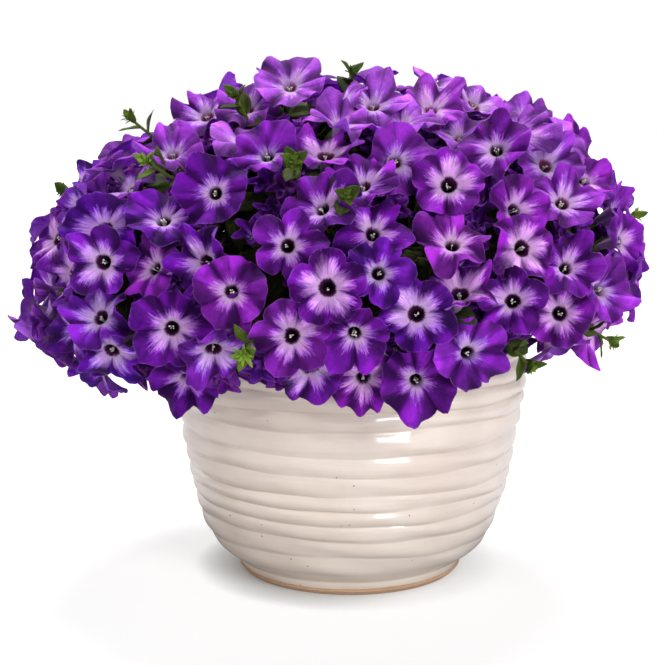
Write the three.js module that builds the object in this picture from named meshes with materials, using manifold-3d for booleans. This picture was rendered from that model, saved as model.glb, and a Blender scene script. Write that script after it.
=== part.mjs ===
// Petunia in full bloom, planted in a hand-thrown stoneware pot with throwing ridges.
//
// Millimetres, +Z up. The origin is the centre of the pot's foot, on the surface it stands on,
// and the side seen first faces -Y. The pot is one turned body. It is filled with potting mix,
// and every flowering spray and leafy shoot of the plant stands in a hole of its own in that mix.
// The blooms lie on a mound, a dome that widens past the rim and hangs a little way below it.
// Those that stand out at the front are set out one by one, and the rest follow a spiral.
import * as THREE from "three";
import { mergeVertices } from "three/addons/utils/BufferGeometryUtils.js";
import Module from "manifold-3d";

const wasm = await Module();
wasm.setup();

const RAD = Math.PI / 180;
const GOLDEN_ANGLE = 180 * (3 - Math.sqrt(5));
const CLEARANCE = 0.3; // between neighbouring pieces
const SLIVER = 0.004; // an edge or a face thinner than this isn't kept

// ---- Driving sizes of the pot ----
const POT_HEIGHT = 204;
const POT_SIDES = 30;
const FOOT_RADIUS = 88;
const FOOT_BAND = { height: 3.5, flare: 2.5 };
const WALL = 10;
const FLOOR = 13;
const LIP = 4; // radius of the rounded rim
const GROOVE_DEPTH = 2.8;
const DRAIN = { radius: 7, circle: 48, holes: 3, sides: 8 };
// Each row is one groove between two ridges: its height, and the wall's outer radius there.
const GROOVES = [
  [19.5, 108.5], [35, 116.4], [51, 121.8], [64, 125.4], [76, 128], [87.5, 130], [103, 132.8],
  [118.5, 135.2], [137.5, 137.8], [150.5, 139.3], [164.5, 140.4], [179, 141], [192, 141.2],
];
const INSIDE_HEIGHTS = [140, 80, 35]; // where the inner wall bends
const FLOOR_ROUND = 6; // how far the inner wall turns in at the floor
const MIX_TOP = 181; // height of the potting mix

// ---- Driving sizes of the plant ----
// The mound leans to the left of the view, so its right side sits higher.
const MOUND = { x: -13, y: 0, z: 233, across: 240, deep: 230, up: 157, down: 100, lean: 4.5 };
const LOWEST = -37; // degrees, the mound's lower edge as seen from its centre
const SPIRAL_BLOOMS = 206; // places on the spiral, before those too close to the others are left out
const OWN_ROOM = 30; // a spiral bloom this close to a bloom set out by hand is left out
const SHOOT_ROOM = 31; // and this close to a shoot's tip
const LAYERS = [-6, 0, 6]; // how far a spiral bloom may stand out of the mound
const LEAN = 0.6; // how much a spiral bloom may lean away from straight out
const BLOOM_RADIUS = 27;
const NOTCH_SHARE = 0.8; // of the radius, at the notches between the five lobes
const NOTCH_HEIGHT = 1.5;
const TIP_HEIGHTS = [-3.5, 1.5]; // a lobe's tip curls back or stands forward within this range
const THROAT_DEPTH = 9;
const NECK_RADIUS = 6.5; // where the tube meets the spread limb
const NECK_DEPTH = 11;
const BEND_GAP = 1.2; // a bloom's edge bends back to lie this far behind its neighbour
const MOST_BEND = 12;
const TOUCHING = 2.3 * BLOOM_RADIUS; // blooms further apart than this can't meet
// A bloom's tube keeps this room to other sprays' stalks, tested at these shares of its length.
const TUBE = { room: 9, tested: [0.2, 0.35, 0.5, 0.65, 0.8], trackPoints: 14 };
const SPRAYS = 42;
const FORK = 0.74; // how far out a spray forks, as a share of the way to its blooms
const FORK_LOWEST = POT_HEIGHT + 24;
const OVER_RIM = POT_HEIGHT + 4; // where a stalk bends out of its upright start
const FEET = { first: 2, step: 4 }; // how far before its stalk's end each bloom's foot is
const STALK_RADIUS = 2.6;
const STALK_STEPS = 4;
const STALK_CIRCLE = { inner: 26, spread: 76, shootInset: 13 }; // where they leave the potting mix
const HOLE_DEPTH = 20;
const SHOOT_LEAVES = 6;
const LEAF = { length: 30, width: 13, thickness: 1.6, rootSlope: 68, tipSlope: 26, start: 19 };
const LEAF_STRETCH = 34; // the leaves sit on this much of their stalk's end,
const LEAF_CROWDING = 1.5; // closer together towards its tip the larger this is,
const LEAF_SHRINK = 0.45; // and the last is this much shorter than the first

// ---- Where the photograph was taken from, so that a pixel of it names a place on the mound ----
const VIEW = { distance: 1100, height: 357, tilt: 8.66, focal: 1381, column: 350, row: 332.5 };

// The blooms that stand out at the front. Each row is the throat's pixel column and row, where the
// bloom faces (degrees turned to the right, degrees lifted above level), and how far it stands out.
const FRONT_BLOOMS = [
  [246, 101, -10, 50, 0], [292, 93, 5, 42, 10], [204, 109, -15, 50, 0], [373, 98, 5, 50, 0],
  [429, 105, -10, 50, 2], [402, 110, 0, 66, -3], [479, 99, 45, 45, 0], [539, 106, 20, 50, 0],
  [515, 133, 10, 42, 5], [492, 150, -15, 30, 5], [583, 142, 35, 30, 2], [173, 151, -5, 50, 4],
  [266, 152, -10, 42, 3], [325, 147, 0, 58, 0], [397, 161, 10, 20, 3], [361, 178, -15, 52, 0],
  [447, 186, 0, 20, 4], [553, 157, 20, 30, -4], [216, 196, -5, 15, 6], [318, 204, -25, 38, 2],
  [162, 213, 0, 48, 0], [77, 181, -60, 38, 0], [106, 230, -10, 20, 5], [49, 235, -55, 25, 0],
  [452, 239, 5, 45, 3], [374, 229, 5, 30, 0], [565, 197, 15, 38, 0], [527, 245, 25, 20, 0],
  [622, 209, 60, 20, 0], [566, 263, 15, 33, 3], [288, 247, 0, 8, 3], [328, 289, 0, 5, 8],
  [379, 271, 5, 20, 4], [233, 291, 5, 10, 2], [200, 263, -30, 5, 0], [105, 263, -10, 10, 5],
  [62, 275, -60, 5, 0], [95, 313, -25, 36, 0], [170, 330, 0, 0, 0], [217, 321, -30, -28, -4],
  [212, 362, 10, -40, -4], [60, 333, -45, -5, -6], [107, 358, -20, -30, 0], [33, 298, -75, 2, -8],
  [292, 335, 0, 5, 4], [354, 338, 0, -18, 2], [310, 380, 0, -30, -4], [364, 388, 0, -28, -2],
  [416, 313, 0, 10, 4], [459, 286, -10, 56, 0], [512, 301, -10, 10, 0], [558, 311, 0, 10, 3],
  [604, 286, 35, 20, 2], [467, 346, 15, 5, 8], [415, 375, 5, -12, 8], [628, 240, 60, 10, 0],
  [640, 272, 75, 0, 0], [612, 335, 50, -20, 0], [609, 155, 75, 30, 0], [588, 174, 25, 45, 0],
  [648, 235, 80, 5, 0], [335, 100, -60, 58, 0],
];
// The leafy shoot tips that show between them: pixel column and row, and how far the tip stands out.
const FRONT_SHOOTS = [
  [250, 343, 14], [597, 328, 12], [522, 354, 8], [158, 176, 12], [296, 176, 11], [345, 203, 6],
  [123, 121, 12],
];
// Shoots round the sides and back: degrees turned and lifted from the mound's middle, and the same.
const OTHER_SHOOTS = [
  [95, 10, 10], [128, -22, 12], [150, 35, 10], [185, -25, 12], [207, 20, 10], [238, -18, 12], [262, 30, 10],
  [20, 72, 8], [330, 62, 8],
];

// ---- Colours ----
const GLAZE = new THREE.MeshStandardMaterial({ color: 0xe6dccf, roughness: 0.3, metalness: 0 });
const MIX = new THREE.MeshStandardMaterial({ color: 0x3a2a1e, roughness: 0.95, metalness: 0 });
const PETAL = new THREE.MeshStandardMaterial({ color: 0x5a1fa8, roughness: 0.6, metalness: 0 });
const GREEN = new THREE.MeshStandardMaterial({ color: 0x55812c, roughness: 0.6, metalness: 0 });

// ---- Small helpers ----

// A fixed draw from 0 to 1 for the nth thing of its kind and one of its traits.
function draw(n, trait) {
  const wave = Math.sin(n * 127.1 + trait * 311.7) * 43758.5453;
  return wave - Math.floor(wave);
}

// A closed geometry as a solid, with its faces turned outwards.
function solidOf(geometry) {
  const bare = new THREE.BufferGeometry();
  bare.setAttribute("position", geometry.getAttribute("position"));
  bare.setIndex(geometry.index);
  const merged = mergeVertices(bare, 1e-4);
  const corners = merged.index.array;
  const make = (order) => {
    const kept = [];
    for (let i = 0; i < corners.length; i += 3) {
      const [a, b, c] = order.map((k) => corners[i + k]);
      if (a !== b && b !== c && a !== c) kept.push(a, b, c);
    }
    const vertProperties = new Float32Array(merged.attributes.position.array);
    return new wasm.Manifold(new wasm.Mesh({ numProp: 3, vertProperties, triVerts: new Uint32Array(kept) }));
  };
  const solid = make([0, 1, 2]);
  return solid.volume() > 0 ? solid : make([0, 2, 1]);
}

// A list of points and a list of corner triples as a solid.
function solidFrom(points, triples) {
  const geometry = new THREE.BufferGeometry().setFromPoints(points);
  geometry.setIndex(triples.flat());
  return solidOf(geometry);
}

// The faces of a mesh with corners that nearly coincide made one, and with no sliver: where a face's
// corner lies on its longest edge, the edge is turned to join that corner to the neighbour's.
function cleanFaces(corners, at) {
  const same = new Map();
  const settled = (i) => (same.has(i) ? settled(same.get(i)) : i);
  let faces = [];
  for (let i = 0; i < corners.length; i += 3) faces.push([...corners.subarray(i, i + 3)]);
  for (const face of faces) {
    for (let k = 0; k < 3; k += 1) {
      const [a, b] = [settled(face[k]), settled(face[(k + 1) % 3])];
      if (a !== b && at(a).distanceTo(at(b)) < SLIVER) same.set(b, a);
    }
  }
  faces = faces.map((face) => face.map(settled)).filter(([a, b, c]) => a !== b && b !== c && a !== c);
  for (let round = 0; round < 6; round += 1) {
    const owner = new Map();
    faces.forEach((face, i) => face.forEach((a, k) => owner.set(`${a},${face[(k + 1) % 3]}`, i)));
    const turned = new Set();
    faces.forEach((face, i) => {
      const spans = face.map((a, k) => at(a).distanceTo(at(face[(k + 1) % 3])));
      const k = spans.indexOf(Math.max(...spans));
      const [a, b, c] = [face[k], face[(k + 1) % 3], face[(k + 2) % 3]];
      const area = at(b).sub(at(a)).cross(at(c).sub(at(a))).length();
      const j = owner.get(`${b},${a}`);
      if (area / spans[k] > SLIVER || turned.has(i) || turned.has(j)) return;
      const d = faces[j].find((corner) => corner !== a && corner !== b);
      const normal = (p, q, r) => at(q).sub(at(p)).cross(at(r).sub(at(p)));
      const flat = normal(b, a, d);
      const agrees = flat.dot(normal(a, d, c)) > 0 && flat.dot(normal(d, b, c)) > 0;
      if (!agrees || owner.has(`${c},${d}`) || owner.has(`${d},${c}`)) return;
      faces[i] = [a, d, c];
      faces[j] = [d, b, c];
      turned.add(i).add(j);
    });
    if (turned.size === 0) break;
  }
  return faces.flat();
}

// The solid as a named mesh.
function meshOf(solid, name, material) {
  const made = solid.getMesh();
  const at = (i) => new THREE.Vector3().fromArray(made.vertProperties, 3 * i);
  const geometry = new THREE.BufferGeometry();
  geometry.setAttribute("position", new THREE.BufferAttribute(new Float32Array(made.vertProperties), 3));
  geometry.setIndex(cleanFaces(made.triVerts, at));
  geometry.computeVertexNormals();
  const mesh = new THREE.Mesh(geometry, material);
  mesh.name = name;
  return mesh;
}

// A turned body, upright on Z, from its profile of [radius, height] rows.
function turned(profile) {
  const points = profile.map(([r, z]) => new THREE.Vector2(r, z));
  return solidOf(new THREE.LatheGeometry(points, POT_SIDES).rotateX(Math.PI / 2));
}

// The bodies that a solid falls into, the largest first.
const bodiesOf = (solid) => solid.decompose().sort((a, b) => b.volume() - a.volume());

// ---- The pot ----

// The outer radius of the wall at a height, through the grooves' rows.
function wallRadius(z) {
  const rows = [[0, FOOT_RADIUS], ...GROOVES, [POT_HEIGHT, GROOVES.at(-1)[1]]];
  const i = Math.max(1, rows.findIndex((row) => row[0] >= z));
  const [[z0, r0], [z1, r1]] = [rows[i - 1], rows[i]];
  return r0 + ((r1 - r0) * (z - z0)) / (z1 - z0);
}

// The outside from foot to lip: a bulge between each two grooves. grow makes it all larger.
function outerProfile(grow) {
  const rows = [[FOOT_RADIUS + grow, 0], [FOOT_RADIUS + FOOT_BAND.flare + grow, FOOT_BAND.height]];
  const heights = [FOOT_BAND.height, ...GROOVES.map((row) => row[0]), POT_HEIGHT - LIP];
  for (let i = 1; i < heights.length; i += 1) {
    const middle = (heights[i - 1] + heights[i]) / 2;
    rows.push([wallRadius(middle) + GROOVE_DEPTH / 2 + grow, middle]);
    if (i < heights.length - 1) rows.push([wallRadius(heights[i]) - GROOVE_DEPTH / 2 + grow, heights[i]]);
  }
  return rows;
}

const RIM_OUTER = GROOVES.at(-1)[1] + GROOVE_DEPTH / 2;

// The inside from the top down to the floor's middle, a gap further in and up.
function innerProfile(gap) {
  const wall = INSIDE_HEIGHTS.map((z) => [wallRadius(z) - WALL - gap, z]);
  return [...wall, [wallRadius(FLOOR) - WALL - FLOOR_ROUND - gap, FLOOR + gap], [0, FLOOR + gap]];
}

function pot() {
  const lipSide = POT_HEIGHT - LIP / 2;
  const rim = [[RIM_OUTER, lipSide], [RIM_OUTER - LIP, POT_HEIGHT], [RIM_OUTER - WALL, lipSide]];
  let body = turned([[0, 0], ...outerProfile(0), ...rim, ...innerProfile(0)]);
  for (let i = 0; i < DRAIN.holes; i += 1) {
    const turn = (i / DRAIN.holes) * 2 * Math.PI;
    const drill = new THREE.CylinderGeometry(DRAIN.radius, DRAIN.radius, 3 * FLOOR, DRAIN.sides);
    drill.rotateX(Math.PI / 2).translate(DRAIN.circle * Math.cos(turn), DRAIN.circle * Math.sin(turn), 0);
    body = body.subtract(solidOf(drill));
  }
  return body;
}

// The potting mix fills the pot from its floor, a clearance off the wall, with a hole for each stalk.
function pottingMix(stalks) {
  const gap = 2 * CLEARANCE;
  const top = [[0, MIX_TOP], [wallRadius(MIX_TOP) - WALL - gap - 1, MIX_TOP]];
  return stalks.reduce((mix, stalk) => mix.subtract(stalk), turned([...top, ...innerProfile(gap)]));
}

// ---- The mound ----

const centre = new THREE.Vector3(MOUND.x, MOUND.y, MOUND.z);
const yAxis = new THREE.Vector3(0, 1, 0);
const riseOf = (z) => (z > 0 ? MOUND.up : MOUND.down);
const leaned = (v) => v.applyAxisAngle(yAxis, -MOUND.lean * RAD);
const upright = (v) => v.applyAxisAngle(yAxis, MOUND.lean * RAD);

// The point of the mound in a direction from its middle, in degrees: turned to the right, and lifted.
function onMound(turn, lift, share = 1) {
  const [t, l] = [turn * RAD, lift * RAD];
  const x = MOUND.across * Math.cos(l) * Math.sin(t);
  const y = -MOUND.deep * Math.cos(l) * Math.cos(t);
  const z = riseOf(lift) * Math.sin(l);
  return leaned(new THREE.Vector3(x, y, z).multiplyScalar(share)).add(centre);
}

// The direction, in degrees, of a point from the mound's middle, as onMound takes it.
function directionOf(point) {
  const p = upright(point.clone().sub(centre));
  const [x, y, z] = [p.x / MOUND.across, p.y / MOUND.deep, p.z / riseOf(p.z)];
  return [Math.atan2(x, -y) / RAD, Math.atan2(z, Math.hypot(x, y)) / RAD];
}

// Straight out of the mound at a point of it.
function outward(point) {
  const p = upright(point.clone().sub(centre));
  const steep = new THREE.Vector3(p.x / MOUND.across ** 2, p.y / MOUND.deep ** 2, p.z / riseOf(p.z) ** 2);
  return leaned(steep.normalize());
}

// The unit vector that is turned to the right of the viewer and lifted above level, in degrees.
function facing(turn, lift) {
  const [t, l] = [turn * RAD, lift * RAD];
  return new THREE.Vector3(Math.cos(l) * Math.sin(t), -Math.cos(l) * Math.cos(t), Math.sin(l));
}

// The nearest point of the mound along the line of sight through a pixel. A line that just misses
// the mound gives the point where it comes closest.
function seenThrough(column, row) {
  const tilt = VIEW.tilt * RAD;
  const up = (VIEW.row - row) / VIEW.focal;
  const x = (column - VIEW.column) / VIEW.focal;
  const level = Math.cos(tilt) + up * Math.sin(tilt);
  const ray = upright(new THREE.Vector3(x, level, up * Math.cos(tilt) - Math.sin(tilt)));
  const eye = upright(new THREE.Vector3(0, -VIEW.distance, VIEW.height).sub(centre));
  const meet = (rise) => {
    const squash = (v) => new THREE.Vector3(v.x / MOUND.across, v.y / MOUND.deep, v.z / rise);
    const [e, d] = [squash(eye), squash(ray)];
    const [a, b, c] = [d.dot(d), e.dot(d), e.dot(e) - 1];
    const reach = (-b - Math.sqrt(Math.max(0, b * b - a * c))) / a;
    return eye.clone().addScaledVector(ray, reach);
  };
  const above = meet(MOUND.up);
  const found = above.z >= 0 ? above : meet(MOUND.down);
  return onMound(...directionOf(leaned(found).add(centre)));
}

// The lifts that share the mound's surface evenly among n things, from its lower edge to its top.
function evenLifts(n) {
  const area = [0];
  for (let lift = LOWEST; lift < 90; lift += 1) {
    const l = (lift + 0.5) * RAD;
    area.push(area.at(-1) + Math.cos(l) * Math.hypot(MOUND.across * Math.sin(l), riseOf(lift) * Math.cos(l)));
  }
  return Array.from({ length: n }, (_, i) => {
    const wanted = ((i + 0.5) / n) * area.at(-1);
    const k = area.findIndex((a) => a >= wanted);
    return LOWEST + k - 1 + (wanted - area[k - 1]) / (area[k] - area[k - 1]);
  });
}

// ---- The plan of the plant: where each bloom and each shoot's tip is ----

const shootPlan = [
  ...FRONT_SHOOTS.map(([column, row, out]) => [...directionOf(seenThrough(column, row)), out]),
  ...OTHER_SHOOTS,
].map(([turn, lift, out]) => {
  const surface = onMound(turn, lift);
  return { turn, lift, tip: surface.clone().addScaledVector(outward(surface), out) };
});

// The layer that keeps a spiral bloom furthest from its neighbours' layers.
function freestLayer(i, spot, placed) {
  const near = placed.filter((b) => b.at.distanceTo(spot) < 2 * BLOOM_RADIUS);
  const room = (out) => Math.min(99, ...near.map((b) => Math.abs(b.out - out)));
  const first = Math.floor(draw(i, 3) * LAYERS.length);
  const order = LAYERS.map((_, k) => LAYERS[(first + k) % LAYERS.length]);
  return order.reduce((best, out) => (room(out) > room(best) ? out : best));
}

// Every bloom: its throat, where it faces, its radius, its roll, and how far it stands out.
function bloomPlan() {
  const blooms = FRONT_BLOOMS.map(([column, row, turn, lift, out]) => {
    const spot = seenThrough(column, row);
    return { at: spot.addScaledVector(outward(spot), out), face: facing(turn, lift), out };
  });
  const byHand = [...blooms];
  evenLifts(SPIRAL_BLOOMS).forEach((lift, i) => {
    const turn = i * GOLDEN_ANGLE + 5 * (draw(i, 1) - 0.5);
    const spot = onMound(turn, lift + 3 * (draw(i, 2) - 0.5));
    if (byHand.some((b) => b.at.distanceTo(spot) < OWN_ROOM)) return;
    if (shootPlan.some((shoot) => shoot.tip.distanceTo(spot) < SHOOT_ROOM)) return;
    const out = freestLayer(i, spot, blooms);
    const lean = new THREE.Vector3(draw(i, 4) - 0.5, draw(i, 5) - 0.5, draw(i, 6) - 0.4).multiplyScalar(LEAN);
    const face = outward(spot).add(lean).normalize();
    blooms.push({ at: spot.addScaledVector(outward(spot), out), face, out });
  });
  blooms.forEach((bloom, i) => {
    bloom.radius = BLOOM_RADIUS * (0.92 + 0.16 * draw(i, 7));
    bloom.roll = 72 * draw(i, 8);
    bloom.curl = i;
  });
  return blooms;
}

// ---- One bloom ----

// A point by its distance from the bloom's axis, its angle round it and its height along it.
function place(bloom, radius, angle, height) {
  const side = new THREE.Vector3(0, 0, 1).cross(bloom.face);
  if (side.length() < 1e-3) side.set(1, 0, 0);
  side.normalize();
  const up = bloom.face.clone().cross(side);
  return bloom.at
    .clone()
    .addScaledVector(side, radius * Math.cos(angle * RAD))
    .addScaledVector(up, radius * Math.sin(angle * RAD))
    .addScaledVector(bloom.face, height);
}

// The edge of a bloom at rest: five lobes' tips and the notches between them, by turns.
function edgeOf(bloom) {
  return Array.from({ length: 10 }, (_, k) => {
    const isTip = k % 2 === 0;
    const [back, forward] = TIP_HEIGHTS;
    const height = isTip ? back + (forward - back) * draw(bloom.curl, 20 + k) : NOTCH_HEIGHT;
    return place(bloom, bloom.radius * (isTip ? 1 : NOTCH_SHARE), bloom.roll + 36 * k, height);
  });
}

// True where the first bloom lies in front of the second.
function inFront(a, b) {
  const line = a.at.clone().sub(b.at);
  return line.dot(a.face.clone().add(b.face)) > 0;
}

// Bends the edge of each bloom back behind the neighbours that lie in front of it.
function bendClear(blooms) {
  for (const low of blooms) {
    for (const high of blooms) {
      if (low === high || low.at.distanceTo(high.at) > TOUCHING || !inFront(high, low)) continue;
      for (const point of low.edge) {
        const from = point.clone().sub(high.at);
        const height = from.dot(high.face);
        const radius = from.addScaledVector(high.face, -height).length();
        const share = Math.min(1, (radius - NECK_RADIUS) / (high.radius - NECK_RADIUS));
        const limit = -NECK_DEPTH * (1 - share) - BEND_GAP;
        if (radius > high.radius + BEND_GAP || height < limit) continue;
        point.addScaledVector(high.face, limit - height);
        const own = point.clone().sub(low.at).dot(low.face);
        if (own < -MOST_BEND) point.addScaledVector(low.face, -MOST_BEND - own);
      }
    }
  }
}

// A trumpet: five lobes spread round the throat, and a tube that tapers to its foot on the stalk.
// grow makes it larger all round, for cutting its neighbours clear of it.
function bloomSolid(bloom, foot, grow) {
  const rim = (rise) =>
    bloom.edge.map((edge) => {
      const out = edge.clone().sub(bloom.at).normalize();
      return edge.clone().addScaledVector(out, 2 * grow).addScaledVector(bloom.face, rise);
    });
  const points = [place(bloom, 0, 0, grow - THROAT_DEPTH), ...rim(grow), ...rim(-grow)];
  for (let k = 0; k < 5; k += 1) {
    points.push(place(bloom, NECK_RADIUS + grow, bloom.roll + 72 * k + 36, -NECK_DEPTH - grow));
  }
  points.push(foot);
  const [pit, top, under, neck, tail] = [0, 1, 11, 21, 26];
  const triples = [];
  for (let k = 0; k < 10; k += 1) {
    const next = (k + 1) % 10;
    const [a, b, c, d] = [top + k, top + next, under + k, under + next];
    triples.push([pit, a, b], [a, c, d], [a, d, b]);
  }
  for (let k = 0; k < 5; k += 1) {
    const [tip, notch, next] = [under + 2 * k, under + 2 * k + 1, under + ((2 * k + 2) % 10)];
    const [here, before] = [neck + k, neck + ((k + 4) % 5)];
    triples.push([tip, before, here], [tip, here, notch], [notch, here, next], [here, before, tail]);
  }
  return solidFrom(points, triples);
}

// ---- Stalks and leaves ----

// A stalk's route: up out of the potting mix, and over the rim where it hangs outside it.
function stalkRoute(turn, lift, inset, ends) {
  const away = STALK_CIRCLE.inner + STALK_CIRCLE.spread * Math.cos(Math.max(0, lift) * RAD) - inset;
  const start = facing(turn, 0).multiplyScalar(away);
  const low = start.clone().setZ(MIX_TOP - HOLE_DEPTH);
  const bend = start.clone().setZ(OVER_RIM);
  return new THREE.CatmullRomCurve3([low, bend, ...ends]);
}

// Where a spray's stalk ends and its blooms' tubes run together, inside the mound and over the rim.
function forkPoint(turn, lift) {
  const inside = onMound(turn, lift, FORK);
  return inside.setZ(Math.max(inside.z, FORK_LOWEST));
}

// The point of a stalk's last straight stretch that lies this far before its end.
function beforeEnd(route, distance) {
  const [last, end] = route.getSpacedPoints(STALK_STEPS).slice(-2);
  return end.lerp(last, distance / end.distanceTo(last));
}

// A stalk of three sides along its route.
function stalkSolid(route, grow) {
  const corner = (degrees) => new THREE.Vector2(Math.cos(degrees * RAD), Math.sin(degrees * RAD));
  const section = [90, 210, 330].map((degrees) => corner(degrees).multiplyScalar(STALK_RADIUS + 2 * grow));
  const options = { steps: STALK_STEPS, extrudePath: route };
  return solidOf(new THREE.ExtrudeGeometry(new THREE.Shape(section), options));
}

// A leaf blade, folded a little along its rib, from its root towards its tip.
function leafSolid({ root, along, normal, length }, grow) {
  const across = along.clone().cross(normal).normalize();
  const spot = (a, b, c) =>
    root.clone().addScaledVector(along, a * length).addScaledVector(across, b).addScaledVector(normal, c);
  const half = (length * LEAF.width) / LEAF.length / 2 + 2 * grow;
  const thick = LEAF.thickness / 2 + grow;
  const tip = [1 + (2 * grow) / length, 0, -1.5];
  const leftSide = [[0.35, half, 1.5], [0.7, 0.8 * half, 1]];
  const rightSide = [[0.7, -0.8 * half, 1], [0.35, -half, 1.5]];
  const faces = [[0.5, 0, thick], [0.5, 0, -thick]];
  const points = [[0, 0, 0], ...leftSide, tip, ...rightSide, ...faces].map((row) => spot(...row));
  const [front, back] = [6, 7];
  const triples = [];
  for (let k = 0; k < 6; k += 1) triples.push([k, (k + 1) % 6, front], [(k + 1) % 6, k, back]);
  return solidFrom(points, triples);
}

// The leaves of a shoot, wound up its last stretch, smaller and steeper towards the tip.
function leafPlan(route) {
  const rise = beforeEnd(route, 0).sub(beforeEnd(route, 1));
  const side = rise.clone().cross(new THREE.Vector3(0, 0, 1)).normalize();
  return Array.from({ length: SHOOT_LEAVES }, (_, k) => {
    const share = k / (SHOOT_LEAVES - 1);
    const root = beforeEnd(route, 1 + LEAF_STRETCH * (1 - share) ** LEAF_CROWDING);
    const spread = side.clone().applyAxisAngle(rise, (LEAF.start + k * GOLDEN_ANGLE) * RAD);
    const slope = (LEAF.rootSlope + (LEAF.tipSlope - LEAF.rootSlope) * share) * RAD;
    const along = spread.clone().multiplyScalar(Math.sin(slope)).addScaledVector(rise, Math.cos(slope));
    const normal = spread.clone().multiplyScalar(-Math.cos(slope)).addScaledVector(rise, Math.sin(slope));
    return { root, along, normal, length: LEAF.length * (1 - LEAF_SHRINK * share) };
  });
}

// ---- The plant: sprays of blooms and leafy shoots, each in one piece ----

// Each bloom joins the spray that it can reach on the shortest way that is clear of other stalks.
function shareOut(blooms, sprays) {
  const tracks = sprays.map((spray) => spray.route.getSpacedPoints(TUBE.trackPoints));
  const isClear = (bloom, spray) => {
    const from = spray.route.getPoint(1);
    const tube = TUBE.tested.map((share) => from.clone().lerp(bloom.at, share));
    const misses = (track) => tube.every((p) => track.every((q) => p.distanceTo(q) > TUBE.room));
    return tracks.every((track, k) => sprays[k] === spray || misses(track));
  };
  for (const bloom of blooms) {
    const far = (spray) => onMound(spray.turn, spray.lift).distanceTo(bloom.at);
    const nearest = [...sprays].sort((a, b) => far(a) - far(b)).slice(0, 3);
    (nearest.find((spray) => isClear(bloom, spray)) ?? nearest[0]).blooms.push(bloom);
  }
}

const blooms = bloomPlan();
blooms.forEach((bloom) => (bloom.edge = edgeOf(bloom)));
bendClear(blooms);
const sprays = evenLifts(SPRAYS).map((lift, i) => {
  const turn = i * GOLDEN_ANGLE;
  return { turn, lift, blooms: [], route: stalkRoute(turn, lift, 0, [forkPoint(turn, lift)]) };
});
shareOut(blooms, sprays);

// Every piece of the plant, with the node it belongs to. make(grow) gives its solid.
const pieces = [];
function addPiece(node, what, make, bloom = null) {
  pieces.push({ node, what, bloom, solid: make(0), grown: make(CLEARANCE) });
}
const numbered = (name, i) => `${name}_${String(i + 1).padStart(2, "0")}`;
sprays
  .filter((spray) => spray.blooms.length)
  .forEach((spray, i) => {
    const node = numbered("bloom_spray", i);
    addPiece(node, "stalk", (grow) => stalkSolid(spray.route, grow));
    spray.blooms.forEach((bloom, k) => {
      const foot = beforeEnd(spray.route, FEET.first + FEET.step * k);
      addPiece(node, "bloom", (grow) => bloomSolid(bloom, foot, grow), bloom);
    });
  });
shootPlan.forEach(({ turn, lift, tip }, i) => {
  const node = numbered("leafy_shoot", i);
  const route = stalkRoute(turn, lift, STALK_CIRCLE.shootInset, [forkPoint(turn, lift), tip]);
  addPiece(node, "stalk", (grow) => stalkSolid(route, grow));
  for (const leaf of leafPlan(route)) addPiece(node, "leaf", (grow) => leafSolid(leaf, grow));
});

// True where two solids' boxes meet.
function boxesMeet(a, b) {
  const [p, q] = [a.boundingBox(), b.boundingBox()];
  return [0, 1, 2].every((k) => p.min[k] < q.max[k] && q.min[k] < p.max[k]);
}

// Where pieces of two nodes would cross, the stalk is kept before the bloom and the bloom before
// the leaf. Of two blooms the one in front is kept.
const KEPT_FIRST = { stalk: 2, bloom: 1, leaf: 0 };
function isKept(first, other, firstIndex, otherIndex) {
  if (first.what !== other.what) return KEPT_FIRST[first.what] > KEPT_FIRST[other.what];
  if (first.what === "bloom") return inFront(first.bloom, other.bloom);
  return firstIndex < otherIndex;
}

const potRoom = turned([
  [0, -1], ...outerProfile(2 * CLEARANCE), [RIM_OUTER + 1, POT_HEIGHT + 1], [0, POT_HEIGHT + 1],
]);
function trimmed(piece, i) {
  let solid = piece.solid;
  pieces.forEach((other, k) => {
    if (other.node === piece.node || !isKept(other, piece, k, i)) return;
    if (boxesMeet(solid, other.grown)) solid = solid.subtract(other.grown);
  });
  if (piece.what !== "stalk" && boxesMeet(solid, potRoom)) solid = solid.subtract(potRoom);
  return solid.isEmpty() ? solid : bodiesOf(solid)[0];
}
const cut = pieces.map(trimmed);

// ---- The scene graph ----
const petunia = new THREE.Group();
petunia.add(meshOf(pot(), "pot", GLAZE));
const stalks = pieces.filter((piece) => piece.what === "stalk").map((piece) => piece.grown);
petunia.add(meshOf(bodiesOf(pottingMix(stalks))[0], "potting_mix", MIX));
for (const node of new Set(pieces.map((piece) => piece.node))) {
  const joined = cut.filter((_, i) => pieces[i].node === node).reduce((a, b) => a.add(b));
  petunia.add(meshOf(bodiesOf(joined)[0], node, node.startsWith("bloom") ? PETAL : GREEN));
}

export default petunia;
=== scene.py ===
# %% [markdown]
# # A petunia in full bloom, in a ribbed stoneware pot
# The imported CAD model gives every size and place. This lesson dresses it: it turns the pot again
# with a finer outline, opens every bloom as a thin trumpet of five joined lobes, and adds the small
# things that CAD leaves out, such as anthers, sepals, buds, young leaves and hairs.

# %% Load the frame
import math

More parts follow.
